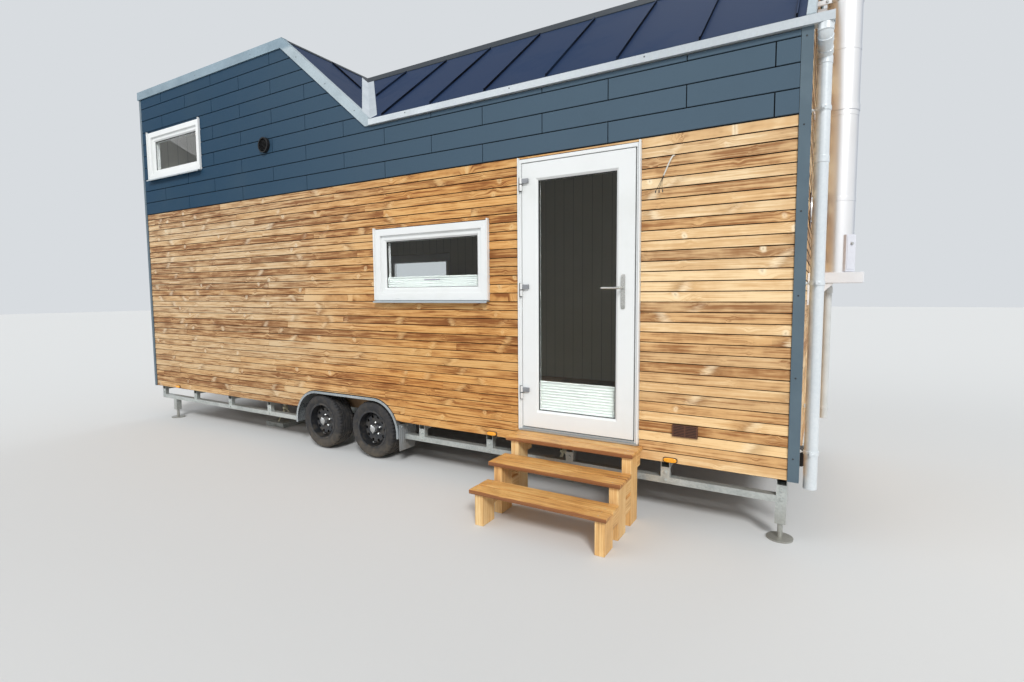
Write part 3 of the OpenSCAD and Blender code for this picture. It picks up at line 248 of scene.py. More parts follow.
def swept(path, radii, sides=10):
    """A round bar along a path: point + radius * (cos t * u + sin t * v), with u and v square to it."""
    path = np.asarray(path, float)
    radii = np.broadcast_to(np.asarray(radii, float), len(path))
    along = np.gradient(path, axis=0)
    along /= np.linalg.norm(along, axis=1)[:, None]
    u = np.cross(along, [0.31, 0.83, 0.46])
    u /= np.linalg.norm(u, axis=1)[:, None]
    v = np.cross(along, u)
    t = np.linspace(0, 2 * np.pi, sides, endpoint=False)[:, None]
    return skin(path[:, None] + radii[:, None, None] * (np.cos(t) * u[:, None] + np.sin(t) * v[:, None]))


def turned(profile, base, axis, sides=24):
    """A profile of (radius, height) spun round an axis:
    base + height * axis + radius * (cos t * u + sin t * v)."""
    axis = np.asarray(axis, float) / np.linalg.norm(axis)
    u = np.cross(axis, [0.0, 0.0, 1.0] if abs(axis[2]) < 0.9 else [0.0, 1.0, 0.0])
    u /= np.linalg.norm(u)
    v = np.cross(axis, u)
    radius, height = (np.array(profile, float)[:, n, None, None] for n in (0, 1))
    t = np.linspace(0, 2 * np.pi, sides, endpoint=False)[None, :, None]
    return skin(np.asarray(base, float) + height * axis + radius * (np.cos(t) * u + np.sin(t) * v))


door_low, door_high = (1000 * (np.array(corner) - house_corner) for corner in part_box("door_frame"))
door_x, door_z = door_low[0], door_low[2]
cable_d = 9.0
cable_route = np.array([
    [1130, 6, 1879], [1130, -4, 1879], [1129, -14, 1877], [1127, -23, 1872], [1123, -30, 1864],
    [1118, -34, 1853], [1112, -36, 1840], [1105, -36, 1825], [1098, -35, 1809], [1090, -34, 1792],
    [1082, -33, 1775], [1074, -32, 1757], [1067, -31, 1739], [1060, -30, 1721], [1054, -29, 1703],
    [1049, -28, 1685], [1045, -27, 1667]], float) + [door_x, 0, door_z]
sheath_end = 12
sheath_route = cable_route[:sheath_end]
sheath_finish = coat("cable sheath", (214, 212, 204), (168, 164, 152), size=40.0, rough=(0.45, 0.6))
core_finish = coat("cable cores", (46, 44, 44), (70, 66, 62), size=60.0, rough=(0.4, 0.6))
sheath_line = bpy.data.curves.new("lamp_cable_sheath", "CURVE")
sheath_line.dimensions = "3D"
sheath_line.bevel_depth = cable_d / 2000
sheath_line.bevel_resolution = 3
sheath_line.use_fill_caps = True
spline = sheath_line.splines.new("POLY")
spline.points.add(len(sheath_route) - 1)
spline.points.foreach_set("co", np.c_[place(sheath_route), np.ones(len(sheath_route))].ravel())
spline.use_smooth = True
sheath_line.materials.append(sheath_finish)
sheath = bpy.data.objects.new("lamp_cable_sheath", sheath_line)
bpy.context.scene.collection.objects.link(sheath)
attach(sheath, "house")
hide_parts("lamp_cable")
core_d, core_pitch, core_splay = 2.6, 1.6, 20.0
sleeve_d, sleeve_l = 7.0, 16.0
cores = []
for spread in (-1.0, 0.0, 1.0):
    route = cable_route[sheath_end - 2:].copy()
    fan = np.linspace(0, 1, len(route))
    route[:, 0] += spread * (core_pitch + core_splay * fan ** 2.5)
    cores.append(swept(route, core_d / 2, 8))
    cores.append(turned([(2.2, 0), (sleeve_d / 2, 1.5), (sleeve_d / 2, sleeve_l), (2.0, sleeve_l + 1)],
                        route[-1] + [0, 0, 3.0], [0.1 * spread, 0, -1], 12))
cable_cores = build("lamp_cable_cores", cores, core_finish)


# The studio
# A wide pale floor under the house and a pale surround that is brighter at the front right, with soft light
# from there, where the sun stands, and weaker fills from the left and from behind.
floor_mesh = bpy.data.meshes.new("studio_floor")
floor_reach, floor_level = 60.0, -0.0005
floor_corners = np.array([(-1, -1, 0), (1, -1, 0), (1, 1, 0), (-1, 1, 0)]) * floor_reach + [0, 0, floor_level]
floor_mesh.from_pydata(floor_corners.tolist(), [], [(0, 1, 2, 3)])
studio_floor = bpy.data.objects.new("studio_floor", floor_mesh)
bpy.context.scene.collection.objects.link(studio_floor)
floor_finish, floor_shader = blank("studio floor")
floor_shader.inputs["Base Color"].default_value = paint(214, 215, 214)
floor_shader.inputs["Roughness"].default_value = 0.9
floor_mesh.materials.append(floor_finish)

surround = bpy.context.scene.world or bpy.data.worlds.new("surround")
bpy.context.scene.world = surround
surround.use_nodes = True
sky = surround.node_tree
sky.nodes.clear()
rays = add(sky, "ShaderNodeLightPath").outputs
seen = reckon(sky, "MAXIMUM", rays["Is Camera Ray"],
              reckon(sky, "MAXIMUM", rays["Is Glossy Ray"], rays["Is Transmission Ray"]))
ambient = add(sky, "ShaderNodeBackground", {"Color": (0.93, 0.96, 1.0, 1.0), "Strength": 0.55})
way = add(sky, "ShaderNodeTexCoord").outputs["Generated"]
key_way = (0.5, -0.8, 0.33)
to_key = add(sky, "ShaderNodeVectorMath", {0: way, 1: key_way}, operation="DOT_PRODUCT").outputs["Value"]
shades = mix(sky, ramp(sky, to_key, -0.6, 0.8), paint(216, 220, 224), paint(250, 251, 252))
backdrop = add(sky, "ShaderNodeBackground", {"Color": shades, "Strength": 1.0})
blend = add(sky, "ShaderNodeMixShader", {0: seen, 1: ambient.outputs[0], 2: backdrop.outputs[0]})
add(sky, "ShaderNodeOutputWorld", {"Surface": blend.outputs[0]})


def sun(name, strength, turn, height, softness):
    """Even light from a compass turn, 0 from the front and 90 from the door end, and a height, in degrees."""
    light = bpy.data.lights.new(name, "SUN")
    light.energy, light.angle = strength, math.radians(softness)
    lamp = bpy.data.objects.new(name, light)
    bpy.context.scene.collection.objects.link(lamp)
    lamp.rotation_euler = (math.radians(90 - height), 0, math.radians(turn))


sun("key", 2.1, 38.0, 38.0, 14.0)
sun("fill", 0.5, -50.0, 30.0, 40.0)
sun("back_fill", 0.45, 180.0, 40.0, 40.0)


# The trailer frame
# Galvanised channels and box tubes, bolted together, with telescopic legs at the corners. The zinc shows its
# spangle, dulled and splashed with mud low down. The sprung axles are painted.
def zinc_group():
    """Crystals of zinc: a shade for each cell of a cell pattern, under slow cloudy patches."""
    group, given, out = effect(
        "zinc spangle",
        {"Where": ("Vector", (0, 0, 0)), "Pale": ("Color", (1, 1, 1, 1)), "Dull": ("Color", (0, 0, 0, 1)),
         "Crystal": ("Float", 90.0)},
        {"Colour": "Color", "Mask": "Float"})
    cells = add(group, "ShaderNodeTexVoronoi", {"Vector": given["Where"], "Scale": given["Crystal"]})
    shade = add(group, "ShaderNodeSeparateColor", {"Color": cells.outputs["Color"]}).outputs[0]
    clouds = ramp(group, noise(group, given["Where"], 2.2, 6.0), 0.35, 0.7, 0.0, 0.6)
    share = reckon(group, "ADD", reckon(group, "MULTIPLY", shade, 0.4), clouds)
    group.links.new(mix(group, share, given["Pale"], given["Dull"]), out["Colour"])
    group.links.new(share, out["Mask"])
    return group


spangle = zinc_group()


def galvanised(name, pale, dull, crystal=90.0, rough=(0.34, 0.5), splash=0.0, metallic=0.5):
    """Zinc crystals under the weathered coat, with the metal's own soft gloss."""
    material = coat(name, pale, dull, rough=rough, splash=splash, bump=0.06, Metallic=metallic)
    tree = material.node_tree
    worn = tree.nodes["Group"]
    where = tree.nodes["Texture Coordinate"].outputs["Object"]
    zinc = add(tree, "ShaderNodeGroup", node_tree=spangle)
    for socket, value in (("Where", where), ("Pale", paint(*pale)), ("Dull", paint(*dull)),
                          ("Crystal", crystal)):
        feed(tree, zinc.inputs[socket], value)
    tree.links.new(zinc.outputs["Colour"], worn.inputs["Colour"])
    return material


def dress(material, *names):
    """CAD nodes as they are, with a finish of their own."""
    for name in names:
        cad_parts[name].data.materials.clear()
        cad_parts[name].data.materials.append(material)


def spots(node, keep=None):
    """The corners of a node's faces, or of those that keep chooses, in the house's own millimetres."""
    points = np.zeros(3 * len(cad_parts[node].data.vertices))
    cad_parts[node].data.vertices.foreach_get("co", points)
    points = 1000 * (points.reshape(-1, 3) - house_corner)
    return points if keep is None else points[keep(points)]


def boxed(node, keep=None):
    """The lowest and the highest corner of those points."""
    return spots(node, keep).min(0), spots(node, keep).max(0)


def near(points):
    """True for the points on the front half of the house."""
    return points[:, 1] < house_w / 2


def mirrored(skins):
    """The same skins on the far side: y becomes the house's width - y, and each face turns over."""
    flip = np.array([1, -1, 1])
    shift = np.array([0, house_w, 0])
    return [(s[0] * flip + shift, s[1][:, ::-1], s[2], s[3]) for s in skins]


def bolt(base, axis, across=17.0, head=7.0):
    """A bolt's six-sided head on its washer."""
    axis = np.asarray(axis, float)
    washer = turned([(across * 0.78, 0), (across * 0.78, 1.4), (across * 0.6, 1.8)], base, axis, 16)
    return [washer, turned([(across * 0.57, 0), (across * 0.57, head - 1.2), (across * 0.46, head)],
                           np.asarray(base, float) + 1.6 * axis, axis, 6)]


def screw(base, axis, radius=4.0, proud=1.6):
    """A low round screw head with a dished middle."""
    return turned([(radius, 0), (radius, proud * 0.5), (radius * 0.8, proud), (radius * 0.3, proud),
                   (radius * 0.2, proud * 0.5), (radius * 0.1, proud * 0.5)], base, axis, 12)


floor_z = 1000 * trim_low.z
frame_zinc = galvanised("frame zinc", (206, 210, 206), (160, 166, 164), splash=0.3)
dress(frame_zinc, "chassis_rails", "crossmembers", "corner_steadies")
dress(coat("axle paint", (70, 72, 74), (104, 84, 64), share=0.6, size=14.0, splash=0.35,
           rough=(0.5, 0.75), Metallic=0.3), "axles")
rail_low, rail_high = boxed("chassis_rails", lambda p: p[:, 1] < 150)
guard_low, guard_high = boxed("mudguards", near)
bolt_in, guard_clear = 30, 40
bolt_spots = np.linspace(rail_low[0] + bolt_in, rail_high[0] - bolt_in, 11)
frame_bolts = []
clear = (bolt_spots < guard_low[0] - guard_clear) | (bolt_spots > guard_high[0] + guard_clear)
for bolt_x in bolt_spots[clear]:
    for bolt_z in (rail_high[2] - bolt_in, rail_low[2] + 22):
        frame_bolts += bolt([bolt_x, rail_low[1], bolt_z], [0, -1, 0])
build("frame_bolts", frame_bolts + mirrored(frame_bolts), frame_zinc)


# The wheels
# Four road tyres on dished steel rims, each rim held by five nuts round a dust cap. A tyre is a revolved
# section whose tread is pressed in by grooves round it and across its shoulders.
tyre_finish = coat("tyre rubber", (38, 38, 40), (88, 82, 74), share=0.5, size=16.0, grit=500.0,
                   bump=0.25, rough=(0.75, 0.92), splash=0.25)
rim_finish = coat("rim paint", (52, 54, 58), (112, 104, 92), share=0.45, size=18.0, splash=0.2,
                  rough=(0.38, 0.6), Metallic=0.45)
nut_finish = coat("wheel nuts", (196, 198, 198), (130, 122, 108), size=60.0, rough=(0.28, 0.5),
                  Metallic=0.85)


def tyre_skin(hub, out, radius, bead, width):
    """A tyre's section carried round its hub: hub + r * (cos a, sin a) in the wheel's plane and w across
    it, with the tread's r less where a groove runs and the shoulder's r less at every lug."""
    half, stations, inner_half = width / 2, 192, 0.80 * width / 2
    w = half * np.array([0.86, 0.90, 0.95, 1.0, 1.0, 0.97, 0.92, 0.84, 0.74, 0.66, 0.56, 0.54, 0.44, 0.42,
                         0.22, 0.20, 0.12, 0.10])
    r = np.array([bead, bead + 12, bead + 26, bead + 46, radius - 44, radius - 26, radius - 13, radius - 5,
                  radius - 1, *[radius] * 9])
    dent = np.zeros(len(w))
    dent[[11, 12, 15, 16]] = 7.0
    lug = np.array([0, 0, 0, 0, 0, 1, 3, 6, 7, 7, 5, 0, 0, 0, 0, 0, 0, 0])
    w = np.concatenate([w, -w[::-1]])
    r, dent, lug = (np.concatenate([a, a[::-1]]) for a in (r, dent, lug))
    angle = np.linspace(0, 2 * np.pi, stations, endpoint=False)[:, None]
    cut = (np.arange(stations) % 4 == 0)[:, None] * lug
    depth = np.concatenate([r - dent - cut, np.full((stations, 2), bead - 4.0)], 1)
    across = np.append(w, [-inner_half, inner_half])[None, :, None] * np.array([0, out, 0.0])
    ring = depth[..., None] * np.stack([np.cos(angle), 0 * angle, np.sin(angle)], -1)
    return skin(np.asarray(hub, float) + ring + across, loop=True)


bead_r, disc_out, cap_out, nut_ring_r = 165.0, 40.0, 57.0, 56.0
nut_profile = [(11, -8), (11, 6), (9, 9), (4, 13), (2, 14)]
cap_profile = [(33, 0), (33, 20), (31, 26), (24, 30), (3, 31)]
for place_name in ("fore_near", "aft_near", "fore_far", "aft_far"):
    tyre_low, tyre_high = boxed("tyre_" + place_name)
    hub = (tyre_low + tyre_high) / 2
    out = -1.0 if place_name.endswith("near") else 1.0
    axle_way = [0, out, 0]
    tyre_r = (tyre_high[2] - tyre_low[2]) / 2
    body = "wheel_" + place_name
    build("tyre_tread_" + place_name, [tyre_skin(hub, out, tyre_r, bead_r, tyre_high[1] - tyre_low[1])],
          tyre_finish, body, ["tyre_" + place_name])
    dress(rim_finish, "rim_" + place_name)
    face = hub + [0, out * disc_out, 0]
    nuts = []
    for angle in np.radians(np.arange(5) * 72 + 18):
        spot = face + nut_ring_r * np.array([math.cos(angle), 0, math.sin(angle)])
        nuts.append(turned(nut_profile, spot, axle_way, 6))
    nuts.append(turned(cap_profile, hub + [0, out * cap_out, 0], axle_way, 28))
    valve = face + [[0, out * 8, -132], [0, out * 22, -128], [0, out * 36, -120]]
    nuts.append(swept(valve, [4.5, 4.5, 3.5], 8))
    build("wheel_nuts_" + place_name, nuts, nut_finish, body)


# Mudguards, flaps, stands and pads
# Rolled galvanised guards over each pair of wheels, grey ribbed rubber flaps bolted behind them, and tripod
# screw stands with wing nuts on slabs of concrete.
guard_finish = galvanised("guard zinc", (206, 212, 214), (152, 160, 164), crystal=60.0,
                          rough=(0.22, 0.4), splash=0.25, metallic=0.75)
dress(guard_finish, "mudguards")
flap_finish = coat("flap rubber", (140, 144, 146), (96, 94, 88), share=0.6, size=9.0, rough=(0.6, 0.8),
                   splash=0.35)
dress(flap_finish, "mud_flaps")
stand_finish = coat("stand paint", (206, 200, 172), (150, 128, 96), share=0.5, size=25.0,
                    rough=(0.4, 0.65), splash=0.1)
dress(stand_finish, "support_stands")
pad_finish = coat("pad concrete", (168, 172, 168), (120, 124, 116), share=0.7, size=12.0, grit=180.0,
                  bump=0.5, rough=(0.8, 0.95), splash=0.15)
dress(pad_finish, "stand_pads")
flap_low, flap_high = boxed("mud_flaps", near)
guard_bolts, flap_ribs = [], []
small_bolt = (13.0, 6.0)
rib_x = flap_high[0] + 0.6
for rib_y in np.linspace(flap_low[1] + 22, flap_high[1] - 22, 7):
    flap_ribs.append(swept([[rib_x, rib_y, flap_low[2] + 60], [rib_x, rib_y, flap_high[2] - 50]], 2.4, 8))
for bolt_y in (flap_low[1] + 30, (flap_low[1] + flap_high[1]) / 2, flap_high[1] - 30):
    guard_bolts += bolt([flap_high[0], bolt_y, flap_high[2] - 20], [1, 0, 0], *small_bolt)
for bolt_x in np.linspace(guard_low[0] + 330, guard_high[0] - 330, 5):
    guard_bolts += bolt([bolt_x, 60.0, guard_high[2]], [0, 0, 1], *small_bolt)
build("guard_bolts", guard_bolts + mirrored(guard_bolts), frame_zinc)
build("flap_ribs", flap_ribs + mirrored(flap_ribs), flap_finish)
pad_low, pad_high = boxed("stand_pads", near)
wing_nuts = []
pad_half, nut_z, thread_top, thread_pitch = 150, 228.0, 254.0, 5.0
up = np.array([0, 0, 1.0])
for stand_x in (pad_low[0] + pad_half, pad_high[0] - pad_half):
    stand = np.array([stand_x, (pad_low[1] + pad_high[1]) / 2, nut_z])
    wing_nuts.append(turned([(20, 0), (22, 3), (22, 12), (18, 16)], stand, up, 16))
    for side in (-1, 1):
        wing = stand + [[side * 14, 0, 8], [side * 34, 0, 12], [side * 46, 0, 22], [side * 50, 0, 32]]
        wing_nuts.append(swept(wing, [6, 7, 6, 3.5], 8))
    for level in np.arange(nut_z + 20, thread_top, thread_pitch):
        wing_nuts.append(turned([(12, 0), (15, 1.6), (15, 2.4), (12, 4)], [*stand[:2], level], up, 16))
build("stand_wing_nuts", wing_nuts + mirrored(wing_nuts), stand_finish)


# The lamps
# Amber side lamps of one ribbed lens on a dark base, and red tail lamps of three lenses in a black housing.
def cushion(low, high, out, power=4.0):
    """A low rounded block: half-sizes times the signed powers of cos and sin, bulging from a flat back
    along out."""
    low, high = np.asarray(low, float), np.asarray(high, float)
    middle, half = (low + high) / 2, (high - low) / 2
    t = np.linspace(0, 2 * np.pi, 32, endpoint=False)
    turn = np.stack([np.cos(t), np.sin(t)])
    turn = np.sign(turn) * np.abs(turn) ** (2 / power)
    rise = np.array([0.0, 0.55, 0.8, 0.93, 1.0, 1.0])
    draw = np.array([1.0, 1.0, 0.95, 0.86, 0.72, 0.05])
    depth = int(np.argmax(np.abs(out)))
    flat = [n for n in range(3) if n != depth]
    rings = np.zeros((len(rise), 32, 3))
    rings[..., flat[0]] = middle[flat[0]] + half[flat[0]] * draw[:, None] * turn[0]
    rings[..., flat[1]] = middle[flat[1]] + half[flat[1]] * draw[:, None] * turn[1]
    back, front = (low, high) if out[depth] > 0 else (high, low)
    rings[..., depth] = back[depth] + (front[depth] - back[depth]) * rise[:, None]
    return skin(rings)


def lens_glass(name, colour, deep):
    """Moulded plastic with fine ribs across it: a wave on the length bends the surface."""
    material = coat(name, colour, deep, share=0.3, size=30.0, rough=(0.12, 0.25), Coat_Weight=0.6)
    tree = material.node_tree
    where = tree.nodes["Texture Coordinate"].outputs["Object"]
    ribs = add(tree, "ShaderNodeTexWave", {"Vector": where, "Scale": 34.0}, bands_direction="X")
    emboss(tree, ribs.outputs["Fac"], 0.5)
    return material


amber = lens_glass("amber lens", (246, 168, 30), (226, 128, 14))
red = lens_glass("red lens", (196, 26, 26), (140, 10, 14))
lamp_base = coat("lamp housing", (34, 34, 36), (60, 58, 54), size=30.0, rough=(0.45, 0.6))
markers, marker_feet = [], []
marker_low, marker_high = boxed("side_markers", near)
marker_w, marker_to_door = 95.0, 305.0
for marker_x in (marker_low[0], door_x - marker_to_door, marker_high[0] - marker_w):
    low = np.array([marker_x, marker_low[1], marker_low[2]])
    high = np.array([marker_x + marker_w, marker_high[1], marker_high[2]])
    marker_feet.append(cushion([low[0], high[1] - 5, low[2]], high, [0, -1, 0]))
    markers.append(cushion(low + [5, 0, 3], high - [5, 4, 3], [0, -1, 0], power=3.0))
build("marker_lenses", markers + mirrored(markers), amber, instead_of=["side_markers"])
build("marker_bases", marker_feet + mirrored(marker_feet), lamp_base)
tail_low, tail_high = boxed("tail_lamps", near)
tail_lens, tail_box = [], [cushion(tail_low, [tail_high[0] - 8, *tail_high[1:]], [1, 0, 0], power=9.0)]
lens_pitch, lens_w = 37.0, 35
for third in range(3):
    lens_y = tail_low[1] + 5 + third * lens_pitch
    tail_lens.append(cushion([tail_high[0] - 14, lens_y, tail_low[2] + 6],
                             [tail_high[0], lens_y + lens_w, tail_high[2] - 6], [1, 0, 0], power=6.0))
build("tail_lenses", tail_lens + mirrored(tail_lens), red, instead_of=["tail_lamps"])
build("tail_housings", tail_box + mirrored(tail_box), lamp_base)


# The floor, the walls and the ceiling
# Insulated panels: coated plywood below the floor, and inside the house white painted boards that stand
# upright, with a fine groove at every joint.
def lining_material():
    """White paint on upright boards, darkened into a cream grey as painted shade for the dim light inside: a
    groove wherever x or y passes a whole number of board widths.
    """
    # Painted shade: the lining's paint is darkened to a cream grey for the dim light inside the house.
    shaded_white = (190, 187, 170)
    board_w, groove_share, squarely = 0.12, 0.035, 0.7
    material = coat("white lining", shaded_white, (176, 172, 154), share=0.3, size=2.0, rough=(0.5, 0.6))
    tree = material.node_tree
    worn = tree.nodes["Group"]
    where = tree.nodes["Texture Coordinate"].outputs["Object"]
    axes, facing = split(tree, where), split(tree, add(tree, "ShaderNodeNewGeometry").outputs["Normal"])
    grooves = []
    for axis, across in (("X", "Y"), ("Y", "X")):
        part = reckon(tree, "FRACT", reckon(tree, "DIVIDE", axes[axis], board_w))
        line = reckon(tree, "LESS_THAN", part, groove_share)
        side = reckon(tree, "GREATER_THAN", reckon(tree, "ABSOLUTE", facing[across]), squarely)
        grooves.append(reckon(tree, "MULTIPLY", line, side))
    groove = reckon(tree, "MAXIMUM", *grooves)
    tree.links.new(mix(tree, groove, paint(*shaded_white), paint(120, 117, 104)), worn.inputs["Colour"])
    return material


lining = lining_material()
dress(lining, "front_wall_left", "front_wall_over_door", "front_wall_right", "back_wall", "loft_end_wall",
      "door_end_wall", "roof_flat", "roof_front_slope", "roof_side_slope")
dress(coat("floor plywood", (150, 118, 84), (104, 82, 62), share=0.6, size=5.0, rough=(0.5, 0.7)),
      "floor_deck")


# The wooden boards
# Heat-treated pine boards, laid level one over the other on battens, each with its face tilted out at the
# foot, a shadow gap under it and a tongue behind that. They butt at random lengths and are cut round the
# openings.
def wood_group():
    """Sawn pine on a chart of metres along and across a board. Streaks are noises drawn out along the
    board and growth lines a sine across it. Knots stand at the cells of a pattern along the board. A
    knot's patch is d = sqrt((du + lean * dv)^2 + (0.8 dv)^2) across: a knot that leans is a pale frayed
    patch with a smoky side, and one that was cut straight across is a pale eye with a darker heart. Near
    it v is pulled to the knot's own v, so that the growth lines spread round it. A tone under 0 mixes in a
    near-black brown: painted shade, in the gap between two boards and under a tread's nose."""
    group, given, out = effect(
        "sawn pine",
        {"Chart": ("Vector", (0, 0, 0)), "Tone": ("Float", 0.5), "Pale": ("Color", (1, 1, 1, 1)),
         "Middle": ("Color", (0.5, 0.5, 0.5, 1)), "Dark": ("Color", (0, 0, 0, 1)),
         "Sap": ("Color", (1, 1, 1, 1)), "Core": ("Color", (0, 0, 0, 1)), "Knots": ("Float", 1.0),
         "Figure": ("Float", 1.0)},
        {"Colour": "Color", "Height": "Float", "Shine": "Float"})
    u, v = split(group, given["Chart"])[:2]

    def times(*values):
        return reckon(group, "MULTIPLY", *values)

    def plus(*values):
        return reckon(group, "ADD", *values)

    def less(*values):
        return reckon(group, "SUBTRACT", *values)

    def drawn(along, across, detail=3.0, rough=0.55, height=v):
        spot = add(group, "ShaderNodeCombineXYZ", {"X": times(u, along), "Y": times(height, across)})
        return noise(group, spot.outputs[0], 1.0, detail, rough)

    knots_a_metre = 1.9
    wander, ragged, frayed = drawn(1.3, 9.0), drawn(45.0, 120.0), drawn(9.0, 150.0)
    knots = {"W": times(u, knots_a_metre), "Scale": 1.0, "Randomness": 0.95}
    cells = add(group, "ShaderNodeTexVoronoi", knots, voronoi_dimensions="1D").outputs
    draws = add(group, "ShaderNodeSeparateColor", {"Color": cells["Color"]}).outputs
    toss = reckon(group, "GREATER_THAN", reckon(group, "FRACT", times(draws[2], 7.0)), 0.5)
    side = less(times(toss, 2.0), 1.0)
    lean = less(draws[1], 0.5)
    leans = ramp(group, reckon(group, "ABSOLUTE", lean), 0.14, 0.2)
    du = less(u, reckon(group, "DIVIDE", cells["W"], knots_a_metre))
    dv = less(reckon(group, "FRACT", v), plus(times(draws[0], 0.05), 0.008))
    leaning = times(side, plus(du, times(times(lean, 2.6), dv)))
    leaning = plus(leaning, times(less(frayed, 0.5), ramp(group, leans, 0.0, 1.0, 0.012, 0.1)))
    reach = reckon(group, "SQRT", plus(times(leaning, leaning), times(times(dv, dv), 0.64)))
    reach = plus(reach, times(less(ragged, 0.5), ramp(group, leans, 0.0, 1.0, 0.012, 0.03)))
    reach = reckon(group, "DIVIDE", reach, plus(times(draws[2], 0.9), 0.35))
    bent = less(v, times(times(ramp(group, reach, 0.08, 0.0), 0.85), dv))
    lines = reckon(group, "SINE", plus(times(bent, 900.0), times(wander, 22.0)))
    streaks = drawn(5.0, 210.0, 4.0, 0.65, bent)
    figure = plus(times(less(streaks, 0.5), 1.0), times(lines, 0.10))
    figure = plus(figure, times(less(drawn(2.2, 95.0, 2.0, 0.5, bent), 0.5), 1.5))
    figure = plus(figure, times(less(drawn(3.4, 46.0, 3.0, 0.6, bent), 0.5), 1.5))
    shade = plus(given["Tone"], times(figure, given["Figure"]))
    shade = plus(shade, times(less(drawn(2.6, 3.0, 4.0, 0.65), 0.5), 1.3))
    body = mix(group, ramp(group, shade, -0.1, 0.5), given["Dark"], given["Middle"])
    body = mix(group, ramp(group, shade, 0.45, 1.05), body, given["Pale"])
    board = add(group, "ShaderNodeTexWhiteNoise", {"W": reckon(group, "FLOOR", v)}, noise_dimensions="1D")
    hue = mix(group, board.outputs[0], (1.05, 1.0, 0.92, 1.0), (0.99, 1.02, 1.07, 1.0))
    body = mix(group, 1.0, body, hue, "MULTIPLY")
    present = times(ramp(group, draws[2], 0.4, 0.7), given["Knots"])
    smoke = times(ramp(group, reach, 0.12, 0.02), ramp(group, leaning, 0.02, -0.03))
    smoke = times(smoke, times(present, leans))
    patch = times(ramp(group, reach, 0.062, 0.01), ramp(group, leaning, -0.045, 0.01))
    eye = ramp(group, reach, 0.024, 0.009)
    sap = times(plus(times(patch, times(leans, 0.75)), times(eye, less(1.0, leans))), present)
    heart = times(times(ramp(group, reach, 0.009, 0.002), ramp(group, leans, 0.0, 1.0, 0.3, 0.0)), present)
    coloured = mix(group, times(smoke, 0.35), body, given["Core"])
    coloured = mix(group, times(sap, ramp(group, streaks, 0.25, 0.6, 0.4, 0.85)), coloured, given["Sap"])
    coloured = mix(group, heart, coloured, given["Core"])
    # Painted shade: tones under 0 turn to a near-black brown.
    painted_shade = ramp(group, given["Tone"], 0.0, -1.2)
    group.links.new(mix(group, painted_shade, coloured, paint(38, 24, 16)), out["Colour"])
    group.links.new(plus(times(streaks, 0.7), times(lines, 0.2)), out["Height"])
    group.links.new(sap, out["Shine"])
    return group


pine = wood_group()


def wood(name, pale, middle, dark, sap, core, knots=1.0, rough=(0.62, 0.5), tints=None):
    """Sawn pine on the piece's own chart. With tints, the boards turn more orange at the door, browner beyond
    it, where their figure is stronger too, and golden low down. The darkening beyond the door is partly
    weathering and partly painted shade."""
    material, shader = blank(name)
    tree = material.node_tree
    figure = add(tree, "ShaderNodeGroup", node_tree=pine)
    feed(tree, figure.inputs["Chart"], add(tree, "ShaderNodeUVMap", uv_map="chart").outputs[0])
    feed(tree, figure.inputs["Tone"], add(tree, "ShaderNodeAttribute", attribute_name="tone").outputs["Fac"])
    for socket, value in (("Pale", pale), ("Middle", middle), ("Dark", dark), ("Sap", sap), ("Core", core)):
        figure.inputs[socket].default_value = paint(*value)
    figure.inputs["Knots"].default_value = knots
    colour = figure.outputs["Colour"]
    if tints:
        where = add(tree, "ShaderNodeTexCoord").outputs["Object"]
        axes = split(tree, where)
        x = reckon(tree, "ADD", axes["X"], reckon(tree, "MULTIPLY", noise(tree, where, 1.1, 5.0), 0.8))
        door_at = house_corner[0] + door_x / 1000 + 0.4
        # Partly weathering, partly painted shade: the boards darken from the door towards the loft end, first
        # more orange, then greyer.
        weather_and_shade = mix(tree, ramp(tree, x, door_at - 0.8, door_at - 3.2), tints[0], tints[1])
        colour = mix(tree, ramp(tree, x, door_at + 0.9, door_at), colour, weather_and_shade, "MULTIPLY")
        colour = mix(tree, ramp(tree, axes["Z"], 1.7, 0.6), colour, tints[2], "MULTIPLY")
        tree.links.new(ramp(tree, x, door_at + 0.9, door_at - 0.4, 0.7, 1.5), figure.inputs["Figure"])
        shader.inputs["Specular IOR Level"].default_value = 0.25
    tree.links.new(colour, shader.inputs["Base Color"])
    tree.links.new(ramp(tree, figure.outputs["Shine"], 0.0, 1.0, *rough), shader.inputs["Roughness"])
    emboss(tree, figure.outputs["Height"], 0.35, 0.0012)
    return material


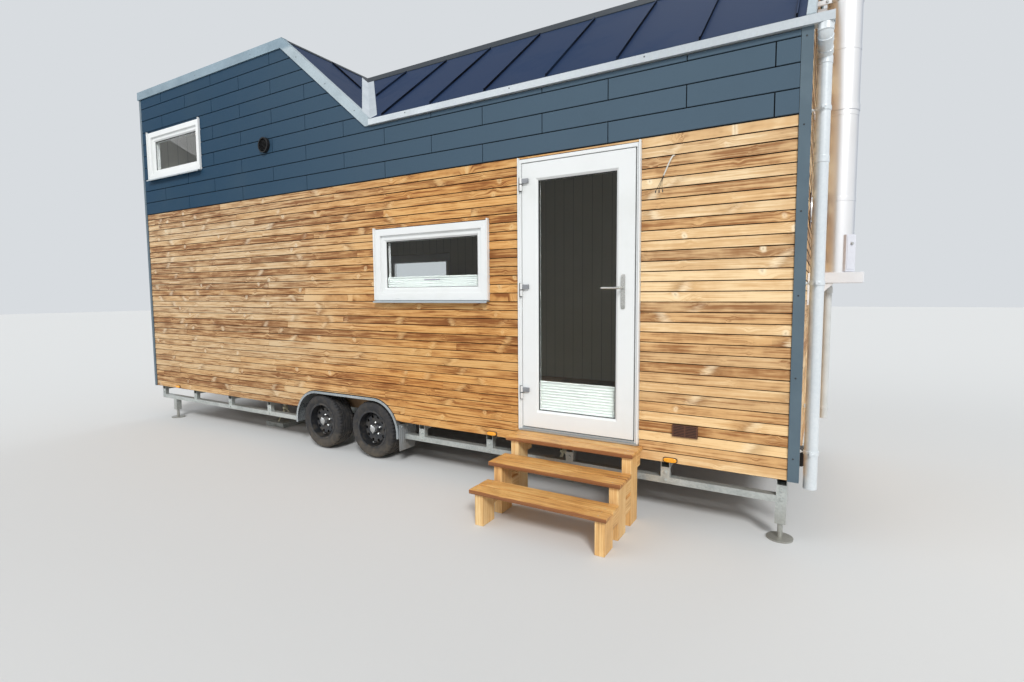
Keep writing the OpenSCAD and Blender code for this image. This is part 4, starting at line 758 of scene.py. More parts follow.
def courses(wall, span, levels, joints, section, holes=(), foot=None, top=None, gap=1.2, least=9.0,
            step=120.0, bends=(), sway=0.0, tones=(0.5, 0.0), painted_shade=0.0):
    """Boards in rows along a wall. Along each row the board's low and high edge are the row's, moved by
    the holes, the foot line and the top line, and the section is carried along between them. A board
    starts anew at a joint and wherever less than the least height is left."""
    skins, shortest = [], 60
    bends = np.asarray(bends, float)
    for row, (row_low, row_high) in enumerate(zip(levels[:-1], levels[1:])):
        cuts = np.asarray(joints(row), float)
        cuts = cuts[(cuts > span[0] + shortest) & (cuts < span[1] - shortest)]
        edges = [edge + aside for a, b, c, z in holes if z > row_low and c < row_high
                 for edge in (a, b) for aside in (-0.01, 0.01)]
        near_line = np.zeros(len(bends), bool)
        for line in (foot, top):
            if line is not None and len(bends):
                near_line |= (line(bends) > row_low - 3) & (line(bends) < row_high + 3)
        s = np.concatenate([np.arange(span[0], span[1], step), [span[1]], edges, bends[near_line],
                            cuts - gap / 2, cuts, cuts + gap / 2])
        s = np.unique(np.clip(s, *span))
        low, high = np.full(len(s), float(row_low)), np.full(len(s), float(row_high))
        for a, b, c, z in holes:
            inside = (s > a) & (s < b) & (z > row_low) & (c < row_high)
            if c <= row_low:
                low = np.where(inside, np.maximum(low, z), low)
            else:
                high = np.where(inside, np.minimum(high, c), high)
        low = low if foot is None else np.maximum(low, foot(s))
        high = high if top is None else np.minimum(high, top(s))
        whole = (high - low > least) & ~np.isin(s, cuts)
        for run in np.split(np.arange(len(s)), np.flatnonzero(np.diff(whole.astype(int))) + 1):
            draws = chance.random(6)
            if not whole[run[0]] or len(run) < 2:
                continue
            wave = sway * (np.sin(s[run] / 340 + 9 * draws[0]) + 0.6 * np.sin(s[run] / 130 + 9 * draws[1]))
            outline = section(low[run], high[run], wave, sway * (2 * draws[5] - 1))
            # The painted shade lowers the tone of the section's points that lie in the gap between boards.
            tone = tones[0] + tones[1] * (2 * draws[2] - 1) + painted_shade
            skins.append(skin(wall(s[run][:, None], outline[..., 0], outline[..., 1]), tone,
                              (40 * draws[3], math.floor(40 * draws[4]))))
    return skins


def front(s, d, z):
    """A point of the front, s along it, d in from the siding and z up."""
    return np.stack(np.broadcast_arrays(s, d, z), -1)


def back(s, d, z):
    """The same on the back: y = width - d."""
    return np.stack(np.broadcast_arrays(s, house_w - d, z), -1)


def loft_end(s, d, z):
    """The same on the loft end, with s along y: x = d."""
    return np.stack(np.broadcast_arrays(d, s, z), -1)


def door_end(s, d, z):
    """The same on the door end: x = length - d."""
    return np.stack(np.broadcast_arrays(house_l - d, s, z), -1)


cladding_low, cladding_high = boxed("cladding_front")
siding_z = boxed("siding_front")[0][2]
board_face, wall_out = cladding_low[1], cladding_high[1]
corner_narrow_w, corner_w = cladding_low[0], house_l - cladding_high[0]
board_pitch, shadow, board_tilt = 66.3, 5.0, 3.2


def outlined(points):
    """An outline at each station, from points whose depth and height are one value or a row of them."""
    return np.stack([np.stack(np.broadcast_arrays(*point), -1) for point in points], 1)


def board_section(low, high, wave, set_back):
    """The board's outline at each station: its tilted face with eased edges over the shadow gap, and the
    back with the tongue that closes the gap. Depths are counted in from the siding, heights from the
    board's low edge."""
    foot = low + np.minimum(shadow + 0.45 * wave, (high - low) * 0.4)
    face = board_face + 1.2 + 0.6 * wave + set_back
    deep = np.full(len(low), wall_out - 0.5)
    tongue = np.full(len(low), wall_out - 9.0)
    return outlined([(face + 2.2, foot), (face + 0.4, foot + 0.9), (face, foot + 2.4),
                     (face + board_tilt - 0.6, high - 2.2), (face + board_tilt + 1.6, high - 0.3),
                     (deep, high), (deep, low), (tongue, low), (tongue, foot), (tongue - 1.0, foot)])


hub_z, guard_t = 275.0, 1.0
arch_r = guard_high[2] - hub_z + guard_t
arch_left, arch_right = guard_low[0] + arch_r, guard_high[0] - arch_r


def arch_line(s):
    """The wheel arch over each place s: hub height + sqrt(r^2 - (s - hub)^2) beyond the hubs, flat
    between them."""
    beyond = np.clip(np.maximum(arch_left - s, s - arch_right), 0, None)
    return hub_z + np.sqrt(np.clip(arch_r ** 2 - beyond ** 2, 0, None))


arch_bends = np.concatenate([np.linspace(arch_left - arch_r, arch_left, 60),
                             np.linspace(arch_right, arch_right + arch_r, 60)])


def random_joints(low, high):
    """Butt joints at random board lengths along each row."""
    shortest, longest = 1500.0, 3800.0

    def joints(row):
        lengths = chance.uniform(shortest, longest, 6)
        places = low - chance.uniform(0, longest) + np.cumsum(lengths)
        return places[places < high]
    return joints


def unbroken(row):
    """No joints: each row is in one length."""
    return []


def far(points):
    """True for the points on the back half of the house."""
    return points[:, 1] > house_w / 2


casing_ear, hole_clear, trim_clear = 12.0, 1.5, 2


def hole(node, keep):
    """The span and heights that a window takes in a wall, grown by a little. Its casing's ears stand
    over it."""
    low, high = boxed(node, keep)
    return low[0] - hole_clear, high[0] + hole_clear, low[2] - hole_clear, high[2] - casing_ear + hole_clear


door_foot = boxed("sills", lambda p: p[:, 2] < 600)[0][2]
door_hole = (door_x - hole_clear, door_high[0] + hole_clear, door_foot - 1.0,
             door_high[2] - casing_ear + hole_clear)
window_hole, back_hole = hole("window_frames_low", near), hole("window_frames_low", far)
row_count = round((siding_z - floor_z) / board_pitch)
levels = np.linspace(floor_z, siding_z, row_count + 1)
front_span = (corner_narrow_w + trim_clear, house_l - corner_w - trim_clear)
loft_span = (corner_narrow_w + trim_clear, house_w - corner_narrow_w - trim_clear)
# Painted shade on the points of the board's section in the gap: the underside of its foot, its back and its
# tongue.
gap_shade_tones = np.array([-2.5, 0, 0, 0, 0, -2.5, -2.5, -2.5, -2.5, -2.5])
pine_boards = wood("pine boards", (240, 212, 168), (215, 176, 127), (150, 104, 64),
                   (248, 230, 196), (112, 68, 34),
                   tints=((0.80, 0.62, 0.40, 1.0), (0.76, 0.75, 0.77, 1.0), (0.97, 0.92, 0.84, 1.0)))


def boarded(name, wall, span, rows, joints, holes=(), tone=0.5, **lines):
    """One wall's boards, between the lines for their foot and top if there are any."""
    skins = courses(wall, span, rows, joints, board_section, holes, sway=0.9, tones=(tone, 0.42),
                    painted_shade=gap_shade_tones, **lines)
    build("boards_" + name, skins, pine_boards, instead_of=["cladding_" + name])


boarded("front", front, front_span, levels, random_joints(corner_narrow_w, door_x - 300),
        [door_hole, window_hole], foot=arch_line, bends=arch_bends)
boarded("back", back, front_span, levels, random_joints(corner_narrow_w, house_l - 300), [back_hole],
        foot=arch_line, bends=arch_bends)
boarded("loft_end", loft_end, loft_span, levels, unbroken, tone=0.45)

side_low, side_high = boxed("sheet_side_slope")
loft_l, valley_x, flat_z = side_low[0], side_high[0], side_high[2]
eave_z = boxed("sheet_front_slope", lambda p: p[:, 1] < 1)[1][2]
ridge_y = boxed("sheet_front_slope")[1][1]
front_pitch = math.atan2(flat_z - eave_z, ridge_y)
side_pitch = math.atan2(flat_z - eave_z, valley_x - loft_l)
sheet_t = flat_z - boxed("siding_loft_end")[1][2]


def end_line(y):
    """The top of the end wall's boards: the front slope under its sheet, up to the flat roof."""
    slope = eave_z - sheet_t / math.cos(front_pitch) + y * math.tan(front_pitch)
    return np.minimum(flat_z - sheet_t, slope) - 4


end_rows = np.arange(floor_z, flat_z + board_pitch, levels[1] - levels[0])
wall_pipe_low, wall_pipe_high = boxed("flue", lambda p: p[:, 0] < house_l - 50)
pipe_hole = (wall_pipe_low[1] - 3, wall_pipe_high[1] + 3, wall_pipe_low[2] - 3, wall_pipe_high[2] + 3)
boarded("door_end", door_end, (corner_w + trim_clear, house_w - corner_w - trim_clear), end_rows, unbroken,
        [pipe_hole], top=end_line, bends=np.linspace(corner_w, ridge_y + 20, 90))


# The dark planks
# Slate-grey boards of pressed fibre with a matt, faintly grained face, in rows with open joints that
# stagger from row to row. Dark strips behind close the joints.
plank_pitch, plank_gap, plank_t = 140.0, 7.5, 11.0
strip_face, strip_rear = 14.5, 26.5


def plank_section(low, high, wave, set_back):
    """A flat plank with eased edges, a gap above its low edge."""
    foot = low + np.minimum(plank_gap, (high - low) * 0.4)
    face = np.full(len(low), 0.6 + 0.5 * set_back)
    deep = face + plank_t
    return outlined([(face + 1.2, foot), (face, foot + 1.4), (face, high - 1.4), (face + 1.2, high),
                     (deep, high), (deep, foot)])


def strip_section(low, high, wave, set_back):
    """The strip behind a row of planks, from its low to its high edge."""
    return outlined([(strip_face, low), (strip_face, high), (strip_rear, high), (strip_rear, low)])


gutter_low, gutter_high = boxed("gutters", near)


def front_line(x):
    """The top of the front planks: the flat roof, the slope beside the loft, then a gap under the gutter."""
    slope = flat_z - sheet_t / math.cos(side_pitch) - (x - loft_l) * math.tan(side_pitch)
    return np.where(x > valley_x - 1, gutter_low[2] - 7, np.minimum(slope, flat_z - sheet_t) - 4)


def staggered(first, second):
    """Joints in step on every other row, one plank's length apart."""
    plank_l = 1004.0
    return lambda row: (second if row % 2 else first) - plank_l * np.arange(8)


def fibre_material():
    """Slate-grey matt boards: a grain drawn out along them in the relief, and slow shifts of shade, darker
    and bluer towards the loft end and greyer and paler towards the door end: painted light."""
    shaded_slate, lit_slate = (33, 63, 86), (79, 97, 111)
    material = coat("plank paint", shaded_slate, (74, 90, 102), share=0.25, size=1.6, grit=420.0, rough=(0.55, 0.68),
                    Specular_IOR_Level=0.07)
    tree = material.node_tree
    worn = tree.nodes["Group"]
    where = tree.nodes["Texture Coordinate"].outputs["Object"]
    # Painted light: paler and greyer towards the door end, darker and bluer towards the loft end.
    painted_light_share = ramp(tree, split(tree, where)["X"], house_corner[0] + 0.4, house_corner[0] + 6.8)
    tree.links.new(mix(tree, painted_light_share, paint(*shaded_slate), paint(*lit_slate)), worn.inputs["Colour"])
    chart = add(tree, "ShaderNodeUVMap", uv_map="chart").outputs[0]
    drawn = add(tree, "ShaderNodeMapping", {"Vector": chart, "Scale": (26.0, 420.0, 1.0)})
    emboss(tree, noise(tree, drawn.outputs[0], 1.0, 4.0), 0.3)
    return material


planks = fibre_material()
strip_finish = coat("joint strips", (12, 15, 18), (20, 23, 26), size=8.0, rough=(0.8, 0.9))
plank_rows = np.arange(siding_z, flat_z + plank_pitch, plank_pitch)
loft_hole = hole("window_frames_loft", near)
slope_bends = np.append(np.linspace(loft_l - 10, valley_x + 10, 140), [valley_x - 1.01, valley_x - 0.99])


def planked(name, wall, span, joints, holes=(), top=None, bends=()):
    """One wall's planks and the strips behind them."""
    rows = np.minimum(plank_rows, flat_z - sheet_t - 4) if top is None else plank_rows
    skins = courses(wall, span, rows, joints, plank_section, holes, top=top, gap=plank_gap, least=12.0,
                    step=400.0, bends=bends, tones=(0.5, 0.2))
    build("planks_" + name, skins, planks, instead_of=["siding_" + name])
    skins = courses(wall, span, rows, unbroken, strip_section, holes, top=top, least=12.0, step=1500.0,
                    bends=bends)
    build("strips_" + name, skins, strip_finish)


planked("front", front, front_span, staggered(7013, 6519), [loft_hole], front_line, slope_bends)
planked("back", back, front_span, staggered(6740, 6238), [loft_hole])
planked("loft_end", loft_end, loft_span, staggered(2260, 1758))


# The corner trims
# Folded slate-grey angles over the four corners, held by small dark screws.
# The planks' slate grey, painted paler: painted light.
lit_trim_finish = coat("trim paint and light", (80, 98, 109), (94, 112, 122), share=0.4, size=4.0, grit=600.0,
                   rough=(0.36, 0.5), splash=0.12)
dress(lit_trim_finish, "corner_trims")
trim_screws = []
wide_in, narrow_in, stagger = 34, 22, 60
for level in np.arange(floor_z + 140, eave_z - 100, 480.0):
    trim_screws.append(screw([house_l - wide_in, 0, level], [0, -1, 0], 5.0))
    trim_screws.append(screw([house_l, wide_in, level + stagger], [1, 0, 0], 5.0))
    trim_screws.append(screw([narrow_in, 0, level], [0, -1, 0], 4.0))
    trim_screws.append(screw([0, narrow_in, level + stagger], [-1, 0, 0], 4.0))
screw_finish = coat("dark screws", (58, 62, 66), (96, 92, 84), size=80.0, rough=(0.35, 0.5), Metallic=0.7)
build("trim_screws", trim_screws + mirrored(trim_screws), screw_finish)


# The roof
# Dark folded sheet with standing seams, a cap along the two upper edges, a pale flashing in the valley and
# galvanised kerbs round the rims, held by rivets. The kerbs are darker and bluer than the bands down the
# slopes: painted shade.
def roof_material():
    """Dark coated sheet, its blue partly a painted reflection of the sky. The sides of the seams, whose
    normal is far from upright, are darker: painted shade."""
    # The sheet's blue is partly its dark coat and partly a painted reflection of the sky.
    sheet_and_sky_blue = (34, 50, 78)
    material = coat("roof paint", sheet_and_sky_blue, (42, 59, 86), share=0.5, size=1.3, grit=700.0, bump=0.05,
                    rough=(0.5, 0.62), Specular_IOR_Level=0.03)
    tree = material.node_tree
    worn = tree.nodes["Group"]
    upright = split(tree, add(tree, "ShaderNodeNewGeometry").outputs["Normal"])["Z"]
    # Painted shade: the seams' sides go near black.
    seam_side_shade = ramp(tree, upright, 0.6, 0.4)
    tree.links.new(mix(tree, seam_side_shade, paint(*sheet_and_sky_blue), paint(12, 14, 20)), worn.inputs["Colour"])
    return material


def kerb_material():
    """Zinc for the bands down the slopes, darker and bluer from the kerbs' foot up: painted shade."""
    material = galvanised("edge zinc", (168, 182, 188), (146, 160, 167), crystal=80.0, rough=(0.4, 0.52),
                          metallic=0.25)
    tree = material.node_tree
    worn = tree.nodes["Group"]
    where = tree.nodes["Texture Coordinate"].outputs["Object"]
    kerb_foot = boxed("edge_trims", lambda p: p[:, 0] < 50)[0][2] / 1000
    kerb_shade_share = ramp(tree, split(tree, where)["Z"], kerb_foot - 0.04, kerb_foot)
    # Painted shade on the kerbs: darker and bluer above their foot.
    shaded_kerb_colour = mix(tree, kerb_shade_share, worn.outputs["Colour"], (0.55, 0.65, 0.72, 1.0), "MULTIPLY")
    tree.links.new(shaded_kerb_colour, tree.nodes["Principled BSDF"].inputs["Base Color"])
    return material


dress(roof_material(), "sheet_flat", "sheet_front_slope", "sheet_side_slope")
# The caps' dark coat, darkened further to near black: painted shade.
cap_paint_and_shade = coat("cap paint and shade", (32, 40, 48), (40, 48, 56), share=0.4, size=2.0, rough=(0.48, 0.58),
                  Specular_IOR_Level=0.1)
dress(cap_paint_and_shade, "ridge_caps")
valley_finish = galvanised("valley zinc", (196, 204, 210), (176, 186, 192), crystal=70.0, metallic=0.3)
dress(valley_finish, "valley_flashing")
dress(kerb_material(), "edge_trims")
kerb_low = boxed("edge_trims")[0]
rivets, rivet_r, kerb_rivet_z, cap_rivet_in = [], 5.0, flat_z - 38, 120
for rivet_x in np.arange(kerb_low[0] + 260, loft_l, 990.0):
    rivets.append(screw([rivet_x, kerb_low[1] + 1, kerb_rivet_z], [0, -1, 0], rivet_r))
for rivet_y in np.arange(200.0, house_w, 800.0):
    rivets.append(screw([kerb_low[0] + 1, rivet_y, kerb_rivet_z], [-1, 0, 0], rivet_r))
slope_way = np.array([math.cos(side_pitch), 0, -math.sin(side_pitch)])
slope_start = np.array([loft_l, kerb_low[1], flat_z - 50.0])
for run in (260.0, 760.0, 1230.0):
    rivets.append(screw(slope_start + run * slope_way, [0, -1, 0], rivet_r))
for rivet_x in np.arange(loft_l + 420, house_l - 100, 1035.0):
    rivets.append(screw([rivet_x, ridge_y - cap_rivet_in, flat_z - cap_rivet_in * math.tan(front_pitch) + 7],
                        [0, -math.sin(front_pitch), math.cos(front_pitch)], rivet_r))
build("roof_rivets", rivets, screw_finish)


# Gutters and downpipes
# Box gutters of galvanised sheet on strap brackets, and round downpipes with soldered bends, socket collars
# and three clamps each.
gutter_zinc = galvanised("gutter zinc", (200, 207, 211), (182, 190, 195), crystal=85.0,
                         rough=(0.36, 0.5), metallic=0.3)
dress(gutter_zinc, "gutters")
gutter_rivets = []
for rivet_x in np.arange(gutter_low[0] + 420, gutter_high[0] - 60, 1000.0):
    gutter_rivets.append(screw([rivet_x, gutter_low[1], gutter_high[2] - 18], [0, -1, 0], rivet_r))
build("gutter_rivets", gutter_rivets, screw_finish)


def lath(low, high, along=0, edge=3.0, tone=0.5, seed=(0.0, 0.0), steps=2):
    """A bar with rounded edges between two corners: (half - edge) * corner signs + edge * (cos t, sin t)
    round its outline, drawn in at both ends as a quarter circle."""
    low, high = np.asarray(low, float), np.asarray(high, float)
    across = [n for n in range(3) if n != along]
    t = np.radians(45.0 * np.arange(3)) + np.radians(90.0 * np.arange(4))[:, None]
    signs = np.array([(1, 1), (-1, 1), (-1, -1), (1, -1)]).repeat(3, 0)
    round_it = np.stack([np.cos(t).ravel(), np.sin(t).ravel()], 1)
    half, middle = (high - low)[across] / 2, (high + low)[across] / 2
    ease = edge * np.array([0.0, 0.29, 1.0])
    shrink = edge * np.array([1.0, 0.29, 0.0])
    inner = np.linspace(low[along] + edge, high[along] - edge, steps)[1:-1]
    s = np.concatenate([low[along] + ease, inner, high[along] - ease[::-1]])
    shrink = np.concatenate([shrink, np.zeros(len(inner)), shrink[::-1]])
    rings = np.zeros((len(s), 12, 3))
    rings[..., along] = s[:, None]
    rings[..., across] = middle + (half - edge) * signs + (edge - shrink[:, None, None]) * round_it
    return skin(rings, tone, seed)


hung_low, hung_high = boxed("gutters", lambda p: p[:, 1] > house_w - 1)
straps, strap_w = [], 25
for strap_x in np.arange(hung_low[0] + 60, hung_high[0] - 100, 690.0):
    straps.append(lath([strap_x, hung_low[1] + 2, hung_high[2] - 4],
                       [strap_x + strap_w, hung_high[1] - 2, hung_high[2] - 1], 1, 0.8))
build("gutter_straps", straps, gutter_zinc)
pipe_d, pipe_off, neck_r, neck_a = 76.0, 24, 55.0, math.radians(60)
end_face = house_l - board_face
pipe_x = end_face + pipe_off + pipe_d / 2
pipe_y, pipe_foot, ring_up = 142.0, 325.0, 550.0


def downpipe(top, gutter_y):
    """The path of a downpipe under a gutter: upright, a bend of 60 degrees, a straight run, the bend
    back, upright. A bend's points are its centre + r * (cos a, sin a)."""
    arc = np.linspace(0, neck_a, 9)
    run = pipe_y - gutter_y - 2 * neck_r * (1 - math.cos(neck_a))
    bend_top = top - 20
    bend_foot = bend_top - 2 * neck_r * math.sin(neck_a) - run / math.tan(neck_a)
    upright = np.stack([np.full(13, pipe_y), np.linspace(pipe_foot, bend_foot, 13)], 1)[:-1]
    first = np.stack([pipe_y - neck_r + neck_r * np.cos(arc), bend_foot + neck_r * np.sin(arc)], 1)
    second = np.stack([gutter_y + neck_r - neck_r * np.cos(arc[::-1]),
                       bend_top - neck_r * np.sin(arc[::-1])], 1)
    path = np.concatenate([upright, first, second, [[gutter_y, top]]])
    path = np.concatenate([np.full((len(path), 1), pipe_x), path], 1)
    slope = np.array([0, -math.sin(neck_a), math.cos(neck_a)])
    pieces = [swept(path, pipe_d / 2, 36)]
    pieces.append(turned([(35.0, 0.5), (35.0, 90), (1.0, 90.5)], [pipe_x, pipe_y, pipe_foot - 1], up, 24))
    collar = [(38.2, -20), (40.5, -18), (41.4, -14), (40.4, -10), (40.2, 12), (41.4, 16), (40.5, 20),
              (38.2, 21)]
    for base, axis in (([pipe_x, pipe_y, bend_foot], up), ([pipe_x, pipe_y, bend_foot - ring_up], up),
                       ([pipe_x, *first[-1]], slope), ([pipe_x, *second[0]], slope),
                       ([pipe_x, gutter_y, top - 21], up)):
        pieces.append(turned(collar, base, axis, 36))
    return pieces


def pipe_clamps(levels_up):
    """A flat ring with two ears and their bolt, on a rod to a rose on the wall, at each level."""
    pieces, clamp_h = [], 26
    ring = [(38.3, 0), (41.5, 0.8), (42.0, 2), (42.0, 24), (41.5, 25.2), (38.3, clamp_h)]
    rose = [(13, 0), (13, 3), (9, 4), (9, 10), (5, 11)]
    for level in levels_up:
        middle = level + clamp_h / 2
        pieces.append(turned(ring, [pipe_x, pipe_y, level], up, 36))
        pieces.append(lath([pipe_x - 8, pipe_y - 62, level + 3], [pipe_x + 8, pipe_y - 38, level + 23],
                           1, 1.2))
        pieces += bolt([pipe_x + 8, pipe_y - 54, middle], [1, 0, 0], 9.0, 5.0)
        pieces.append(swept([[pipe_x, pipe_y, middle], [end_face - 4, pipe_y, middle]], 4.5, 10))
        pieces.append(turned(rose, [end_face + 0.5, pipe_y, middle], [1, 0, 0], 16))
    return pieces


pipe_zinc = galvanised("pipe zinc", (226, 231, 233), (210, 217, 221), crystal=75.0, rough=(0.3, 0.42),
                       splash=0.35, metallic=0.25)
front_pipe = downpipe(gutter_low[2], (gutter_low[1] + gutter_high[1]) / 2)
back_pipe = mirrored(downpipe(hung_low[2], house_w - (hung_low[1] + hung_high[1]) / 2))
build("downpipe_lengths", front_pipe + back_pipe, pipe_zinc,
      instead_of=["downpipes"])
clamps = pipe_clamps((533.0, 1549.0, 2546.0))
build("downpipe_clamps", clamps + mirrored(clamps), pipe_zinc)


# The windows
# White PVC frames and sashes with welded mitres, a dark gasket round each double pane, casing strips with
# ears at both sides, drain caps in the foot and sloping metal sills.
def mitred(wall, low, high, outline, weld=0.5):
    """An outline of (inset, depth) carried round a rectangle. At each corner it stands on the mitre,
    between two places a little to each side that are sunk by the weld, so that the weld shows as a fine
    line."""
    outline = np.asarray(outline, float)
    signs = np.array([(1, 1), (-1, 1), (-1, -1), (1, -1)], float)
    corners = np.array([(low[0], low[1]), (high[0], low[1]), (high[0], high[1]), (low[0], high[1])], float)
    travel = np.roll(corners, -1, 0) - corners
    travel /= np.linalg.norm(travel, axis=1)[:, None]
    rings = []
    for n in range(4):
        at = corners[n] + signs[n] * outline[:, :1]
        before, after = travel[n - 1], travel[n]
        for way, sink in ((-before * 1.6, 0.0), (0 * before, weld), (after * 1.6, 0.0)):
            spot = at + way
            rings.append(wall(spot[:, 0], outline[:, 1] + sink, spot[:, 1]))
    return skin(np.array(rings), loop=True)


def glass(name, tint, dim):
    """A pane that lets the eye and the light through: rays for shadows pass straight, others are
    refracted."""
    material, shader = blank(name)
    tree = material.node_tree
    shader.inputs["Base Color"].default_value = tint
    shader.inputs["Transmission Weight"].default_value = 1.0
    shader.inputs["IOR"].default_value = 1.25
    where = add(tree, "ShaderNodeTexCoord").outputs["Object"]
    dust = ramp(tree, noise(tree, where, 7.0, 6.0), 0.4, 0.8, 0.0, 0.04)
    tree.links.new(dust, shader.inputs["Roughness"])
    clear = add(tree, "ShaderNodeBsdfTransparent", {"Color": dim})
    shadow_ray = add(tree, "ShaderNodeLightPath").outputs["Is Shadow Ray"]
    both = add(tree, "ShaderNodeMixShader", {0: shadow_ray, 1: shader.outputs[0], 2: clear.outputs[0]})
    tree.links.new(both.outputs[0], tree.nodes["Material Output"].inputs["Surface"])
    return material


window_plastic = coat("window plastic", (230, 232, 231), (216, 218, 214), share=0.4, size=2.5,
                      grit=900.0, bump=0.03, rough=(0.28, 0.4))
gasket_finish = coat("gasket rubber", (40, 42, 42), (62, 62, 60), size=20.0, rough=(0.6, 0.75))
pane_finish = glass("window glass", (0.86, 0.88, 0.88, 1.0), (0.94, 0.95, 0.95, 1.0))
casing_t, casing_out, frame_rear, boards_clear = 10.0, 22, 69, 0.3
frame_outline = [(0, 69), (0, -5.5), (0.8, -7.4), (2.5, -8), (54.5, -8), (56.8, -7), (58, -4.5), (58, 16),
                 (58, 69), (30, 69)]
sash_outline = [(56.6, 80), (56.6, 13), (57.6, 10.8), (60, 10), (93, 10), (95, 10.6), (104, 19),
                (107.5, 22.5), (109.8, 30), (109.8, 80)]
gasket_outline = [(106.5, 25), (108.6, 23.6), (112.4, 27.4), (113, 29.7), (110, 29.9), (107, 29.8)]
window_skins, gaskets, drain_caps = [], [], []


def hung(wall, part):
    """A skin of (s, d, z) points set on a wall. On the back, which runs the other way round, its faces
    turn over."""
    return wall(*part[0].T), part[1] if wall is front else part[1][:, ::-1], part[2], part[3]


def window(wall, low, high, ear_back):
    """One window between its outer corners: frame, sash, gasket, casing strips and drain caps."""
    inner_low, inner_high = (low[0] + casing_t, low[1]), (high[0] - casing_t, high[1])
    window_skins.append(mitred(wall, inner_low, inner_high, frame_outline))
    window_skins.append(mitred(wall, inner_low, inner_high, sash_outline))
    gaskets.append(mitred(wall, inner_low, inner_high, gasket_outline, 0.0))
    for x in (low[0], high[0] - casing_t):
        strip = lath([x, -casing_out, low[1]], [x + casing_t, frame_rear, high[1]], 2, 1.5)
        ear = lath([x, -casing_out, high[1] - 2], [x + casing_t, ear_back, high[1] + casing_ear], 2, 1.5)
        window_skins.extend([hung(wall, strip), hung(wall, ear)])
    for share in (0.22, 0.78):
        x = low[0] + share * (high[0] - low[0])
        cap = cushion([x - 17, -11, low[1] + 12], [x + 17, -8, low[1] + 20], [0, -1, 0])
        drain_caps.append(hung(wall, cap))


for wall, node, half, face in ((front, "window_frames_low", near, board_face),
                               (back, "window_frames_low", far, board_face),
                               (front, "window_frames_loft", near, 0.0),
                               (back, "window_frames_loft", near, 0.0)):
    low, high = boxed(node, half)
    window(wall, (low[0], low[2]), (high[0], high[2] - casing_ear), face - boards_clear)
build("window_profiles", window_skins, window_plastic,
      instead_of=["window_frames_low", "window_frames_loft"])
build("window_gaskets", gaskets, gasket_finish)
build("window_drain_caps", drain_caps, window_plastic)
dress(pane_finish, "window_glass")
sill_finish = coat("sill metal", (176, 184, 188), (150, 158, 162), share=0.4, size=6.0, rough=(0.3, 0.42),
                   Metallic=0.6)
dress(sill_finish, "sills")


# The blinds
# Pleated cloth blinds let down to the foot of the front window and of the door's glass, on a thin rail, the
# window's with a grip in the middle.
def pleats(x0, x1, z0, z1, y, depth, count):
    """Folded cloth between two heights: its depth is a triangle wave of the height, carried along the
    width."""
    cloth_t, stations = 1.2, 5
    z = np.linspace(z0, z1, 2 * count + 1)
    fold = np.where(np.arange(len(z)) % 2, depth, 0.0)
    face, rear = np.stack([y + fold, z], 1), np.stack([y + fold + cloth_t, z], 1)
    outline = np.concatenate([face, rear[::-1]])
    x = np.linspace(x0, x1, stations)
    return skin(np.concatenate([np.broadcast_to(x[:, None, None], (stations, len(outline), 1)),
                                np.broadcast_to(outline, (stations, *outline.shape))], 2))


blind_cloth = coat("blind cloth", (216, 221, 217), (198, 204, 200), share=0.4, size=8.0, grit=1200.0,
                   bump=0.1, rough=(0.75, 0.85))
blind_low, blind_high = boxed("window_blind")
rail_h, grip_half = 12.0, 85
rail_z, grip_x = blind_high[2] - rail_h, (blind_low[0] + blind_high[0]) / 2
build("window_blind_pleats",
      [pleats(blind_low[0] + 1, blind_high[0] - 1, blind_low[2] + 1, rail_z, blind_low[1] + 5, 3.0, 5),
       lath([blind_low[0] + 1, blind_low[1] + 2, rail_z],
            [blind_high[0] - 1, blind_high[1] - 2, blind_high[2]], 0, 2.0)],
      blind_cloth, instead_of=["window_blind"])
build("window_blind_grip", [lath([grip_x - grip_half, blind_low[1] + 0.5, blind_high[2] - 34],
                                 [grip_x + grip_half, blind_low[1] + 2.6, blind_high[2] - 26], 0, 1.0)],
      coat("blind grip", (150, 142, 158), (130, 124, 138), size=30.0))


# The door
# A glazed PVC door in a steel-edged frame: a leaf of welded stiles and rails on three lift-off hinges, a long
# narrow plate with a lever on each face, and a metal threshold.
leaf_low, leaf_high = boxed("door_leaf", lambda p: p[:, 1] > -6)
hinge_low = boxed("door_leaf", lambda p: p[:, 1] < -28)[0]
door_face, stile_w, stop_w, threshold_h = 26.0, 133.0, 44.0, 14.0
frame_foot, frame_top, frame_end = door_z, door_high[2] - casing_ear, door_high[0]
frame_y, stop_y = (-8.0, 85.0), leaf_high[1] + 5.0
door_in, door_out = door_x + door_face, frame_end - door_face
frame_parts = [lath([door_x + 1, frame_y[0] + 0.1, frame_top - door_face],
                    [frame_end - 1, frame_y[1], frame_top], 0, 2.0),
               lath([door_in, stop_y, frame_top - door_face - stop_w],
                    [door_out, frame_y[1] - 0.6, frame_top - door_face + 1], 0, 2.0)]
for x, stop_x, casing_x in ((door_x, door_in - 1, door_x),
                            (door_out, door_out - stop_w, frame_end - casing_t)):
    frame_parts += [lath([x, frame_y[0], frame_foot], [x + door_face, frame_y[1], frame_top], 2, 2.0),
                    lath([stop_x, stop_y, frame_foot],
                         [stop_x + stop_w + 1, frame_y[1] - 0.5, frame_top - 5], 2, 2.0),
                    lath([casing_x, -casing_out, frame_foot], [casing_x + casing_t, -7, frame_top], 2, 1.5),
                    lath([casing_x, -casing_out, frame_top - 2],
                         [casing_x + casing_t, board_face - boards_clear, frame_top + casing_ear], 2, 1.5)]
build("door_frame_profiles", frame_parts, window_plastic, instead_of=["door_frame"])
threshold = lath([door_in - 1, frame_y[0] + 0.5, frame_foot],
                 [door_out + 1, frame_y[1] - 1, frame_foot + threshold_h], 0, 2.0)
build("door_threshold", [threshold], sill_finish)
